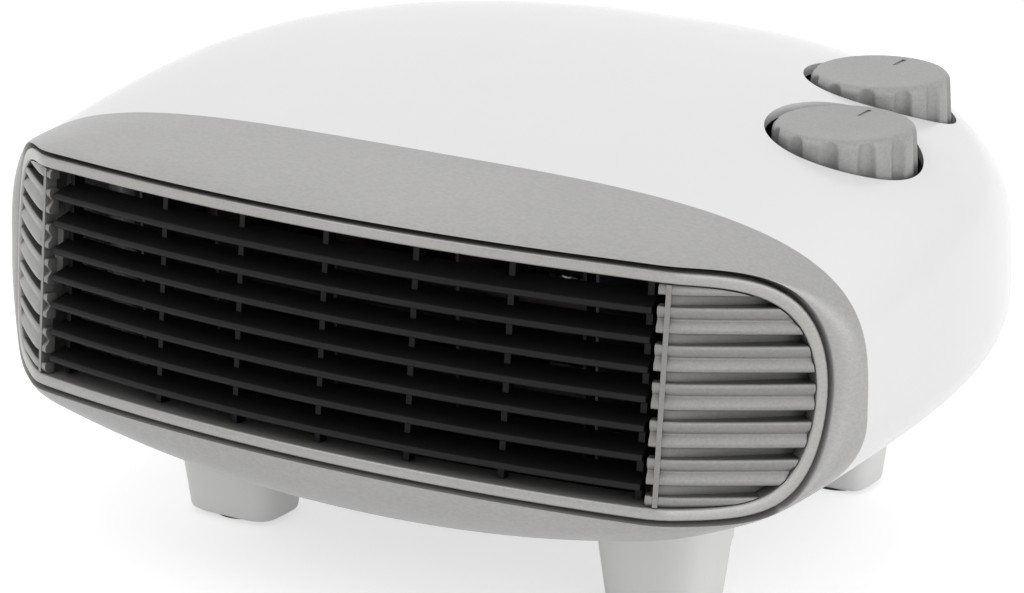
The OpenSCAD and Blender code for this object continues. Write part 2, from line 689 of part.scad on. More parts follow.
// Shaded pole motor: front bridge, laminations, rear bridge, all on two long screws
bridge_t = 1.5;
stand_h = 4;
cup_l = bridge_t + stand_h - 1;
cup_r = bearing_d / 2 + 1.2;
core_s = motor_s + bridge_t + stand_h;
bore_r = rotor_d / 2 + air_gap;
limb_x = 34;
limb_w = 9;
core_end = limb_x + limb_w;
module motor_core() {
    color("dimgray") place() on_axis(core_s) linear_extrude(stack_t) difference() {
        translate([-core_h / 2, -core_h / 2]) square([core_h / 2 + core_end, core_h]);
        circle(r = bore_r, $fn = 64);
        translate([core_h / 2, -core_h / 2 + limb_w]) square([limb_x - core_h / 2, core_h - 2 * limb_w]);
        for (side = [-1, 1]) translate([side * screw_pitch / 2, 0]) circle(d = screw_d + 2 * fit, $fn = 24);
        for (side = [-1, 1]) rotate([0, 0, side * 62 - 90]) translate([bore_r - 0.5, -0.5]) square([3, 1]);
    }
}
bobbin_l = core_h - 2 * limb_w - 2 * fit;
bobbin_wall = 1;
coil_t = 4;
module around_limb(grow, l) {
    translate([limb_x - grow, -l / 2, -grow]) cube([limb_w + 2 * grow, l, stack_t + 2 * grow]);
}
module coil_bobbin() {
    color("beige") place() on_axis(core_s) difference() {
        union() {
            around_limb(fit + bobbin_wall, bobbin_l);
            for (side = [-1, 1]) translate([0, side * (bobbin_l / 2 - 0.6), 0])
                around_limb(fit + bobbin_wall + coil_t, 1.2);
        }
        around_limb(fit, bobbin_l + 2);
    }
}
module motor_coil() {
    color("peru") place() on_axis(core_s) difference() {
        around_limb(fit + bobbin_wall + coil_t - 0.4, bobbin_l - 2.8);
        around_limb(fit + bobbin_wall, bobbin_l);
    }
}
// Pressed bridge with a cup for its bearing, standing on two feet
module bridge() {
    difference() {
        union() {
            translate([-screw_pitch / 2 - 4, -5, 0]) cube([screw_pitch + 8, 10, bridge_t]);
            cylinder(r = cup_r, h = cup_l);
            for (side = [-1, 1]) translate([side * screw_pitch / 2, 0, 0]) cylinder(d = 8, h = bridge_t + stand_h);
        }
        translate([0, 0, -1]) cylinder(d = bearing_d, h = cup_l + 2);
        for (side = [-1, 1]) translate([side * screw_pitch / 2, 0, -1])
            cylinder(d = screw_d + 2 * fit, h = bridge_t + 8);
    }
}
rear_bridge_s = core_s + stack_t + bridge_t + stand_h;
module motor_bridge_front() {
    color("lightsteelblue") place() on_axis(motor_s) bridge();
}
module motor_bridge_rear() {
    color("lightsteelblue") place() on_axis(rear_bridge_s) mirror([0, 0, 1]) bridge();
}
module bearing() {
    difference() {
        cylinder(d = bearing_d, h = cup_l - 1);
        translate([0, 0, -1]) cylinder(r = shaft_d / 2 + run_gap, h = cup_l + 2);
    }
}
module bearing_front() {
    color("goldenrod") place() on_axis(motor_s) bearing();
}
module bearing_rear() {
    color("goldenrod") place() on_axis(rear_bridge_s) mirror([0, 0, 1]) bearing();
}
module motor_screws() {
    color("gainsboro") place() on_axis(rear_bridge_s) mirror([0, 0, 1]) for (side = [-1, 1])
        translate([side * screw_pitch / 2, 0, 0]) screw(screw_d, screw_head_d, rear_bridge_s - shroud_s);
}

// Rotor, shaft, fan and clip turn as one
shaft_front = shroud_s - fan_depth - 5;
hub_back = shroud_s - 1;
module rotor_core() {
    color("slategray") place() on_axis(core_s) difference() {
        cylinder(d = rotor_d, h = stack_t);
        translate([0, 0, -1]) cylinder(d = shaft_d, h = stack_t + 2);
    }
}
module rotor_shaft() {
    color("gainsboro") place() on_axis(shaft_front) cylinder(d = shaft_d, h = rear_bridge_s + 1 - shaft_front);
}
// Blade as a lofted sheet that twists and narrows towards its tip
blade_t = 1.2;
blade_rows = 4;
function blade_ring(u) = let (r = hub_d / 2 - 1 + (fan_d / 2 - hub_d / 2 + 1) * u, pitch = 46 - 20 * u,
    chord = fan_depth * (1 - 0.08 * u) / sin(pitch) * 0.86, camber = 2.2)
    concat([for (i = [0:6]) blade_pt(r, pitch, chord, i / 6, camber, blade_t / 2)],
        [for (i = [6:-1:0]) blade_pt(r, pitch, chord, i / 6, camber, -blade_t / 2)]);
function blade_pt(r, pitch, chord, v, camber, side) = let (c = (v - 0.5) * chord,
    h = camber * (1 - pow(2 * v - 1, 2)) + side, a = (c * cos(pitch) - h * sin(pitch)) / r * 180 / PI)
    [r * cos(a), r * sin(a), c * sin(pitch) + h * cos(pitch)];
module fan_impeller() {
    color([0.8, 0.8, 0.78]) place() on_axis(hub_back - fan_depth) difference() {
        union() {
            cylinder(d = hub_d, h = fan_depth);
            translate([0, 0, fan_depth / 2]) for (k = [0:blade_count - 1])
                rotate([0, 0, k * 360 / blade_count])
                    loft([for (i = [0:blade_rows]) blade_ring(i / blade_rows)], strips = true);
        }
        translate([0, 0, -1]) cylinder(d = shaft_d, h = fan_depth + 2);
        translate([0, 0, 3]) difference() {
            cylinder(r = hub_d / 2 - 1.8, h = fan_depth);
            cylinder(r = shaft_d / 2 + 2, h = fan_depth);
        }
    }
}
module impeller_clip() {
    color("gainsboro") place() on_axis(hub_back - fan_depth - 0.8) difference() {
        cylinder(r = shaft_d / 2 + 3, h = 0.8);
        translate([0, 0, -1]) cylinder(d = shaft_d, h = 3);
    }
}

// Controls: a body under each well, a spindle through the floor and a fluted knob
module at_knob(k) {
    translate([knob_at(k)[0], knob_at(k)[1], well_floor(k)]) children();
}
spindle_low = 14;
spindle_high = 10;
module spindle() {
    difference() {
        translate([0, 0, -spindle_low]) cylinder(d = spindle_d, h = spindle_low + spindle_high);
        translate([spindle_d / 2 - 1, -spindle_d, knob_lift]) cube([spindle_d, 2 * spindle_d, knob_h]);
    }
}
module knob() {
    r = knob_d / 2;
    skirt = 1.5;
    translate([0, 0, knob_lift]) difference() {
        rotate_extrude($fn = 96) polygon([[0, 0], [r, 0], [r, skirt], [r - 0.8, knob_h - 2.2],
            [r - 2.4, knob_h - 0.6], [r - 5, knob_h], [0, knob_h]]);
        for (i = [0:flute_count - 1]) rotate([0, 0, (i + 0.5) * 360 / flute_count])
            translate([r + flute_d * 0.18, 0, skirt]) cylinder(d = flute_d, h = knob_h, $fn = 24);
        translate([0, 0, -1]) difference() {
            cylinder(d = spindle_d, h = spindle_high - knob_lift + 1);
            translate([spindle_d / 2 - 1, -spindle_d, 0]) cube([spindle_d, 2 * spindle_d, knob_h]);
        }
        translate([0, 0, -1]) difference() {
            cylinder(r = r - 2.6 - flute_d * 0.32, h = knob_h - 2);
            cylinder(r = spindle_d / 2 + 2, h = knob_h);
        }
    }
}
thermostat_size = [20, 26, 15];
switch_size = [26, 26, 16];
tag_l = 7;
module control_body(size) {
    difference() {
        union() {
            translate([-size[0] / 2, -size[1] / 2, -wall - size[2]]) cube(size);
            translate([0, 0, -wall - 0.5]) cylinder(r = collar_r, h = wall + 0.5);
        }
        translate([0, 0, -spindle_low - 0.5]) cylinder(r = spindle_d / 2 + run_gap, h = spindle_low + 2);
    }
}
module thermostat_body() {
    color("saddlebrown") place() at_knob(0) {
        low = -wall - thermostat_size[2];
        control_body(thermostat_size);
        translate([-4, -thermostat_size[1] / 2, low - 4]) cube([8, thermostat_size[1], 4]);
        translate([-3, thermostat_size[1] / 2, low - 2]) cube([6, tag_l + 1, 0.8]);
    }
}
module selector_switch() {
    color("ivory") place() at_knob(1) {
        control_body(switch_size);
        for (i = [-1, 0, 1]) translate([i * 8 - 3, -0.4, -wall - switch_size[2] - tag_l])
            cube([6, 0.8, tag_l]);
    }
}
module thermostat_spindle() {
    color("gainsboro") place() at_knob(0) spindle();
}
module selector_spindle() {
    color("gainsboro") place() at_knob(1) spindle();
}
module thermostat_knob() {
    color([0.62, 0.62, 0.61]) place() at_knob(0) knob();
}
module selector_knob() {
    color([0.62, 0.62, 0.61]) place() at_knob(1) knob();
}

// Three way terminal block on its pad
block_wire_h = 4;
module terminal_block() {
    way = block_w / 3;
    hole_d = 3.4;
    wire_d = 3;
    color("ivory") place() translate([block_x - block_w / 2, block_s - block_l / 2, block_z]) difference() {
        cube([block_w, block_l, block_h]);
        for (i = [0:2], side = [-1, 1]) translate([way * (i + 0.5), block_l / 2 + side * 2.8, block_h - 6])
            cylinder(d = hole_d, h = 7);
        for (i = [0:2]) translate([way * (i + 0.5), -1, block_wire_h]) rotate([-90, 0, 0])
            cylinder(d = wire_d, h = block_l + 2);
    }
}

// Insulated wires between the terminals, the controls and the motor
lead_d = 2.4;
lead_sides = 8;
function unit(v) = v / norm(v);
function heading(p, i) = unit(i == 0 ? p[1] - p[0] : i == len(p) - 1 ? p[i] - p[i - 1]
    : unit(p[i] - p[i - 1]) + unit(p[i + 1] - p[i]));
function lead_ring(p, i, side) = let (d = heading(p, i), u = unit(cross(side, d)), v = cross(d, u))
    [for (k = [0:lead_sides - 1]) let (a = 360 * k / lead_sides) p[i] + lead_d / 2 * (u * cos(a) + v * sin(a))];
module lead(route) {
    loft([for (i = [0:len(route) - 1]) lead_ring(route, i, [0.3, 0.9, 0.3])]);
}
module internal_leads() {
    bx = block_x;
    by = block_s - block_l / 2 - 0.2;
    bz = block_z + block_wire_h;
    sx = knob_at(1)[0];
    ss = knob_at(1)[1];
    sz = well_floor(1) - wall - switch_size[2] - tag_l - 0.2;
    color("steelblue") place() {
        lead([[bx + 10, by, bz], [bx + 10, 132, bz], [-50, 128, -36], [50, 128, -36], [sx + 8, 128, -10],
            [sx + 8, ss, sz]]);
        lead([[bx, by, bz], [bx, 124, bz], [-44, 123, -32], [44, 123, -32], [sx - 8, 126, -10],
            [sx - 8, ss, sz]]);
    }
}

upper_housing();
lower_housing();
front_bezel();
outlet_frame();
outlet_grille();
end_louvres();
rear_grille();
front_feet();
rear_feet();
foot_pads();
housing_screws();
cord_gland();
heat_duct();
element_boards();
heating_coil_front();
heating_coil_rear();
thermal_cutout();
thermal_fuse();
fan_shroud();
motor_core();
coil_bobbin();
motor_coil();
motor_bridge_front();
motor_bridge_rear();
bearing_front();
bearing_rear();
motor_screws();
rotor_core();
rotor_shaft();
fan_impeller();
impeller_clip();
thermostat_body();
thermostat_spindle();
thermostat_knob();
selector_switch();
selector_spindle();
selector_knob();
terminal_block();
internal_leads();
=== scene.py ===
# Looks of a flat fan heater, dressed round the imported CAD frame.
# Sizes are in millimetres. Places are in body coordinates: x to the right, s to the rear from the
# foot of the outlet and z up from the plane where the shells meet. metres() turns them into the
# frame's own places, which are in metres.
import math

import bmesh
import bpy
from mathutils import Matrix, Vector


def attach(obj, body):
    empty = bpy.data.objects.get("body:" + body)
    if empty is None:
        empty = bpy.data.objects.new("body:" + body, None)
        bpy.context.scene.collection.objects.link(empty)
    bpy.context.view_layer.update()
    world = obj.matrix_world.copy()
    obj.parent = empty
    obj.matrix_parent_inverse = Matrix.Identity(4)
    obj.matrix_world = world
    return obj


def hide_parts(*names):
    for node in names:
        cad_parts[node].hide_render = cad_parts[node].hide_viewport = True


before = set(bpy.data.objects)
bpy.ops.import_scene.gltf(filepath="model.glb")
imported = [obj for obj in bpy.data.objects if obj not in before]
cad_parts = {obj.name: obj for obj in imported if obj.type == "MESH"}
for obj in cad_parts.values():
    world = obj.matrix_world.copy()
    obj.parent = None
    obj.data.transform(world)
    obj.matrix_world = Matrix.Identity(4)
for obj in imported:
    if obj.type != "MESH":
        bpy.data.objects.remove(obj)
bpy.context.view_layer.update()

# Housing, with the powers and roots of its curves
BODY_W, BODY_D = 260.0, 226.6
FRONT_H, CROWN_H, CROWN_S, BELLY_H = 48.2, 58.4, 135.0, 46.4
WALL, FIT = 2.5, 0.2
TOP_SQUARE, REAR_SQUARE, BELLY_SQUARE, PLAN_SQUARE, ROUND_FROM = 3.72, 1.94, 2.06, 3.42, 0.3
NOSE_S, NOSE_POWER, TOP_ROOT, BELLY_ROOT = BODY_D + 2, 10.6, 3.4, 2

# Bezel, outlet and louvres
BEZEL_D, SPIGOT_L, SPIGOT_T = 50.5, 4.0, 1.6
FLANGE_D, FLANGE_T, BEZEL_T, SHADOW_GAP = 5.0, 1.2, 1.8, 1.3
FACE_LEAN, BOW_R, BOW_HALF_W = 5.8, 377.6, 91.7
OUTLET_H, LIP_H, FRAME_W, FRAME_D = 61.4, 26.7, 3.0, 12.0
END_POWER, LOW_POWER, END_ROOT = 12, 17, 2
LOUVRE_COUNT, LOUVRE_SLOT, LOUVRE_D = 5, 2.6, 6.5

# Rear inlet, at the height of the fan, and cord gland
REAR_S, INLET_SLOTS, INLET_PITCH, INLET_SLOT_H, FAN_Z = BODY_D - 27.0, 7, 8.0, 4.0, 3.5
GLAND_X, GLAND_Z, GLAND_R, BOSS_R, GLAND_INSIDE = -46.0, -31.0, 5.0, 9.0, 16.0

# Knobs
KNOB_D, KNOB_H, FLUTE_COUNT, FLUTE_D = 38.0, 16.5, 12, 6.0
KNOB_PITCH, KNOB_X, KNOB_S, KNOB_ROW_TURN = 44.0, 87.2, 128.8, 14.8
KNOB_TOPS = (55.2, 57.4)
KNOB_GAP, KNOB_LIFT, SPINDLE_D = 1.2, 0.6, 6.0

# Feet, pads and housing screws
FOOT_H, FOOT_W, FOOT_L = 22.0, 34.0, 26.0
FOOT_X, FOOT_S, REAR_FOOT_X, REAR_FOOT_S = 66.0, 66.0, 62.0, 172.0
PAD_D, PAD_T = 16.0, 2.5
SCREW_D, SCREW_HEAD_D, SCREW_L, HEAD_Z = 3.0, 6.0, 26.0, -18.0
POSTS = ((104.0, BEZEL_D + 14), (88.0, REAR_S - 24))

# Height of the plane where the shells meet, how far the front stands before s = 0, and the rear end
MID_Z = FOOT_H + BELLY_H
SHIFT_S = SHADOW_GAP * math.sin(math.radians(FACE_LEAN))
REAR_END = BODY_D - SHIFT_S

# How far the dressed skin lies inside the CAD's, so that it stays in the CAD's box
SKIN = 0.05
# Stations over one half of a body section and of the outlet's edge
HALF, FINE = 96, 108
RING = 2 * HALF
# Slivers shorter than this, in metres, are closed up
MERGE = 1.5e-5
# Edges sharper than this, in degrees, stay sharp
SHARP = 35
# How far cutters and what they trim run past each other, and the longer reach of posts and holes
OVER, SPARE = 1, 2


def metres(x, s, z):
    """A place in body coordinates, in the frame's metres."""
    return Vector((x / 1000, (s + SHIFT_S - BODY_D / 2) / 1000, (z + MID_Z) / 1000))


# The housing's form, as in the CAD source
def run(s):
    """Share of the way from the bezel's joint to the nose of the curves."""
    return max(0.0, (s - BEZEL_D) / (NOSE_S - BEZEL_D))


def plan_w(s):
    return BODY_W / 2 * math.sqrt(1 - run(s) ** PLAN_SQUARE)


def upper_z(s):
    crown = CROWN_H - (CROWN_H - FRONT_H) * ((s - CROWN_S) / (CROWN_S - BEZEL_D)) ** 2
    return crown * (1 - run(s) ** NOSE_POWER) ** (1 / TOP_ROOT)


def lower_z(s):
    return BELLY_H * (1 - run(s) ** NOSE_POWER) ** (1 / BELLY_ROOT)


def top_power(s):
    """Squareness of the upper cross section, which falls towards the rear."""
    fall = max(0.0, run(s) - ROUND_FROM) / (1 - ROUND_FROM)
    return TOP_SQUARE - (TOP_SQUARE - REAR_SQUARE) * fall * fall


def inset_by(fn, s, inset):
    """Value of a curve moved inwards, square to its slope over a millimetre."""
    slope = fn(s + 0.5) - fn(s - 0.5)
    return fn(s) - inset * math.sqrt(1 + slope * slope)


def arch(f, power):
    return max(0.0, 1 - abs(f) ** power) ** (1 / power)


def across(j, n):
    """From 1 at the right to -1 at the left over n stations, and back over the next n."""
    if j <= n:
        return math.sin(math.pi / 2 * (1 - 2 * j / n))
    return -math.sin(math.pi / 2 * (1 - 2 * (j - n) / n))


def body_pt(j, s, inset):
    """Place at station j of the body's cross section, over the top first and then below."""
    j %= RING
    f = across(j, HALF)
    if j > HALF:
        z = -inset_by(lower_z, s, inset) * arch(f, BELLY_SQUARE)
    else:
        z = inset_by(upper_z, s, inset) * arch(f, top_power(s))
    return (inset_by(plan_w, s, inset) * f, s, z)


def belly_at(x, s):
    return -lower_z(s) * arch(x / plan_w(s), BELLY_SQUARE)


def mix(a, b, u):
    return a + (b - a) * u


def rows(a, b, n):
    """Places from a to b in n even steps."""
    return [a + (b - a) * i / n for i in range(n + 1)]


def quarter(steps, first=0):
    """Angles over a quarter turn."""
    return [math.pi / 2 * k / steps for k in range(first, steps + 1)]


# Mesh helpers
def linked(name, data):
    obj = bpy.data.objects.new(name, data)
    bpy.context.scene.collection.objects.link(obj)
    return obj


def shade(obj, sharp=SHARP):
    """Turns the faces outwards and shades them smooth, apart from sharp edges."""
    bm = bmesh.new()
    bm.from_mesh(obj.data)
    bmesh.ops.recalc_face_normals(bm, faces=bm.faces)
    if bm.calc_volume(signed=True) < 0:
        bmesh.ops.reverse_faces(bm, faces=bm.faces)
    bm.to_mesh(obj.data)
    bm.free()
    obj.data.polygons.foreach_set("use_smooth", [True] * len(obj.data.polygons))
    obj.data.set_sharp_from_angle(angle=math.radians(sharp))


def mended(obj, sharp=SHARP):
    """Closes up the slivers that cuts leave, then shades. One pass can leave a few for the next."""
    bm = bmesh.new()
    bm.from_mesh(obj.data)
    for _ in range(2):
        bmesh.ops.remove_doubles(bm, verts=bm.verts, dist=MERGE)
        bmesh.ops.dissolve_degenerate(bm, edges=bm.edges, dist=MERGE)
        bmesh.ops.triangulate(bm, faces=[f for f in bm.faces if len(f.verts) > 4])
    bm.to_mesh(obj.data)
    bm.free()
    shade(obj, sharp)
    return obj


def mesh_object(name, points, faces, sharp=SHARP):
    """An object from places in body coordinates."""
    data = bpy.data.meshes.new(name)
    data.from_pydata([metres(*p) for p in points], [], faces)
    obj = linked(name, data)
    shade(obj, sharp)
    return obj


def ring_faces(rings, n, closed):
    count = rings if closed else rings - 1
    return [(i * n + j, i * n + (j + 1) % n, (i + 1) % rings * n + (j + 1) % n, (i + 1) % rings * n + j)
            for i in range(count) for j in range(n)]


def loft(name, rings, closed=False, caps="flat", sharp=SHARP):
    """Solid through rings of equal counts: closed on itself, or with flat or strip ends."""
    n, r = len(rings[0]), len(rings)
    faces = ring_faces(r, n, closed)
    last = (r - 1) * n
    if not closed and caps == "flat":
        faces += [tuple(range(n)), tuple(range(last, last + n))]
    if not closed and caps == "strip":
        for m in (0, last):
            faces += [(m + j, m + j + 1, m + n - 2 - j, m + n - 1 - j) for j in range(n // 2 - 1)]
    return mesh_object(name, [p for ring in rings for p in ring], faces, sharp)


def lathe(name, at, path, stations, to_rear=False):
    """Solid of revolution about a vertical line, or about a line to the rear. The path holds
    radii, or functions that give one for each angle, and heights."""
    def spot(u, v, h):
        return (at[0] + u, at[1] + h, at[2] + v) if to_rear else (at[0] + u, at[1] + v, at[2] + h)

    points, faces, previous = [], [], None
    for r, h in path:
        ring = []
        if callable(r) or r > 0:
            for k in range(stations):
                a = 2 * math.pi * k / stations
                q = r(a) if callable(r) else r
                ring.append(len(points))
                points.append(spot(q * math.cos(a), q * math.sin(a), h))
        else:
            ring.append(len(points))
            points.append(spot(0, 0, h))
        if previous is not None:
            for k in range(stations):
                k2 = (k + 1) % stations
                if len(previous) == 1:
                    faces.append((previous[0], ring[k], ring[k2]))
                elif len(ring) == 1:
                    faces.append((previous[k], ring[0], previous[k2]))
                else:
                    faces.append((previous[k], ring[k], ring[k2], previous[k2]))
        previous = ring
    return mesh_object(name, points, faces)


def rod(name, at, r, length, sides, to_rear=False):
    return lathe(name, at, [(0, 0), (r, 0), (r, length), (0, length)], sides, to_rear)


def block(name, low, high):
    """A box cutter between two corners in body coordinates."""
    pts = [(x, s, z) for z in (low[2], high[2]) for s in (low[1], high[1]) for x in (low[0], high[0])]
    faces = [(0, 1, 3, 2), (4, 6, 7, 5), (0, 4, 5, 1), (2, 3, 7, 6), (0, 2, 6, 4), (1, 5, 7, 3)]
    return mesh_object(name, pts, faces)


def joined(name, objs):
    """Several separate solids as one object."""
    bm = bmesh.new()
    for o in objs:
        bm.from_mesh(o.data)
        bpy.data.objects.remove(o)
    data = bpy.data.meshes.new(name)
    bm.to_mesh(data)
    bm.free()
    return linked(name, data)


def applied(obj, modifier):
    """Bakes one modifier into the object's own mesh."""
    graph = bpy.context.evaluated_depsgraph_get()
    data = bpy.data.meshes.new_from_object(obj.evaluated_get(graph))
    obj.modifiers.remove(modifier)
    old = obj.data
    obj.data = data
    data.name = obj.name
    bpy.data.meshes.remove(old)


def boolean(obj, tool, operation):
    """Cuts, joins or trims the object with the tool, which is used up."""
    m = obj.modifiers.new("cut", "BOOLEAN")
    m.operation, m.solver, m.object = operation, "EXACT", tool
    applied(obj, m)
    bpy.data.objects.remove(tool)


def coated(obj, material):
    obj.data.materials.clear()
    obj.data.materials.append(material)


def place(obj, body, slot, material, *nodes):
    """Rides a finished piece on its body, in place of CAD nodes if any are given."""
    coated(obj, material)
    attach(obj, body)
    if nodes:
        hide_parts(*nodes)


# Materials, all procedural. Scales are per metre, and reach and height are in metres.
DRIFT_SCALE, ROUGH_SCALE, FLECK_SCALE = 14, 60, 2200
ROUGH_SPREAD, LEAST_ROUGH, COAT_ROUGH = 0.06, 0.02, 0.12
# Reach and samples of the ambient occlusion that paints shade into corners
PAINTED_SHADE_REACH, PAINTED_SHADE_SAMPLES = 0.006, 8
BUMP_HEIGHT = 0.0002


def linear(rgb):
    """Linear light from levels of 0 to 255."""
    return [((c / 255 + 0.055) / 1.055) ** 2.4 if c > 10 else c / 255 / 12.92 for c in rgb]


class Paint:
    """A material with a fine bump, a slow colour drift and a roughness that varies. Ambient occlusion
    paints shade into its corners, and fleck darkens some of its grains."""

    def __init__(self, name, rgb, rough, metal=0.0, grain=900.0, bump=0.05, drift=0.04, coat=0.0,
                 stretch=(1, 1, 1), painted_shade=0.0, fleck=0.0, shine=0.5):
        self.mat = bpy.data.materials.new(name)
        self.mat.use_nodes = True
        self.tree = self.mat.node_tree
        shader = self.tree.nodes["Principled BSDF"]
        shader.inputs["Metallic"].default_value = metal
        shader.inputs["Specular IOR Level"].default_value = shine
        shader.inputs["Coat Weight"].default_value = coat
        shader.inputs["Coat Roughness"].default_value = COAT_ROUGH
        mapping = self.node("ShaderNodeMapping")
        mapping.inputs["Scale"].default_value = stretch
        self.link(self.node("ShaderNodeTexCoord").outputs["Object"], mapping.inputs["Vector"])
        self.at = mapping.outputs["Vector"]
        base = linear(rgb)
        tint = self.ramp(self.noise(DRIFT_SCALE, 3), [c * (1 - drift) for c in base],
                         [min(1, c * (1 + drift)) for c in base], 0.3, 0.7)
        if fleck:
            tint = self.flecked(tint, fleck)
        # Painted shade: corners and recesses darkened by ambient occlusion
        if painted_shade:
            tint = self.with_painted_shade(tint, base, painted_shade)
        self.link(tint, shader.inputs["Base Color"])
        self.link(self.roughness(rough), shader.inputs["Roughness"])
        self.link(self.relief(grain, bump), shader.inputs["Normal"])

    def flecked(self, tint, fleck):
        flake = self.node("ShaderNodeTexVoronoi")
        flake.inputs["Scale"].default_value = FLECK_SCALE
        self.link(self.at, flake.inputs["Vector"])
        level = self.ramp(flake.outputs["Color"], [1 - fleck] * 3, [1] * 3, 0.2, 0.8)
        spots = self.node("ShaderNodeMix")
        spots.data_type, spots.blend_type = "RGBA", "MULTIPLY"
        spots.inputs["Factor"].default_value = 1
        self.link(tint, spots.inputs["A"])
        self.link(level, spots.inputs["B"])
        return spots.outputs["Result"]

    # Paints shade into corners and recesses: where ambient occlusion finds them, the colour goes towards a
    # darker copy of itself
    def with_painted_shade(self, tint, base, painted_shade):
        edge = self.node("ShaderNodeAmbientOcclusion")
        edge.inputs["Distance"].default_value = PAINTED_SHADE_REACH
        edge.samples = PAINTED_SHADE_SAMPLES
        dark = self.node("ShaderNodeMix")
        dark.data_type = "RGBA"
        dark.inputs["A"].default_value = [c * (1 - painted_shade) for c in base] + [1]
        self.link(edge.outputs["AO"], dark.inputs["Factor"])
        self.link(tint, dark.inputs["B"])
        return dark.outputs["Result"]

    def roughness(self, rough):
        spread = self.node("ShaderNodeMapRange")
        spread.inputs["To Min"].default_value = max(LEAST_ROUGH, rough - ROUGH_SPREAD)
        spread.inputs["To Max"].default_value = rough + ROUGH_SPREAD
        self.link(self.noise(ROUGH_SCALE, 4), spread.inputs["Value"])
        return spread.outputs["Result"]

    def relief(self, grain, bump):
        relief = self.node("ShaderNodeBump")
        relief.inputs["Strength"].default_value = bump
        relief.inputs["Distance"].default_value = BUMP_HEIGHT
        self.link(self.noise(grain, 2), relief.inputs["Height"])
        return relief.outputs["Normal"]

    def node(self, kind):
        return self.tree.nodes.new(kind)

    def link(self, a, b):
        self.tree.links.new(a, b)

    def noise(self, scale, detail):
        n = self.node("ShaderNodeTexNoise")
        n.inputs["Scale"].default_value = scale
        n.inputs["Detail"].default_value = detail
        self.link(self.at, n.inputs["Vector"])
        return n.outputs["Fac"]

    def ramp(self, value, a, b, low, high):
        r = self.node("ShaderNodeValToRGB")
        r.color_ramp.elements[0].position, r.color_ramp.elements[0].color = low, (*a, 1)
        r.color_ramp.elements[1].position, r.color_ramp.elements[1].color = high, (*b, 1)
        self.link(value, r.inputs["Fac"])
        return r.outputs["Color"]


# Each of these paints shade into its corners and recesses by ambient occlusion
WHITE = Paint("gloss_white", (235, 235, 235), 0.24, bump=0.06, drift=0.012, coat=0.3, painted_shade=0.15).mat
WHITE_REAR = Paint("satin_white", (233, 233, 233), 0.38, bump=0.14, drift=0.015, painted_shade=0.25).mat
SILVER = Paint("silver_lacquer", (176, 175, 173), 0.36, metal=0.4, grain=1400, bump=0.12, drift=0.04,
               stretch=(0.5, 1, 1), painted_shade=0.3, fleck=0.1).mat
RIM = Paint("silver_rim", (170, 169, 166), 0.3, metal=0.5, grain=1400, bump=0.1, drift=0.04, painted_shade=0.4,
            fleck=0.1).mat
# The bezel's silver painted darker for the shade on the louvres' faces, with strong painted shade in their
# slots
PAINTED_SHADE_LOUVRE = Paint("silver_louvres_painted_shade", (140, 139, 137), 0.36, metal=0.5, grain=1400, bump=0.12, drift=0.05,
               painted_shade=0.75, fleck=0.1).mat
BLACK = Paint("black_grille", (13, 11, 12), 0.5, bump=0.25, drift=0.2, painted_shade=0.7, shine=0.25).mat
KNOB = Paint("knob_grey", (167, 167, 166), 0.42, metal=0.15, bump=0.3, grain=1100, drift=0.06, painted_shade=0.7,
             fleck=0.12).mat
FOOT = Paint("foot_grey", (236, 236, 235), 0.45, bump=0.25, grain=1000, drift=0.02, painted_shade=0.1).mat

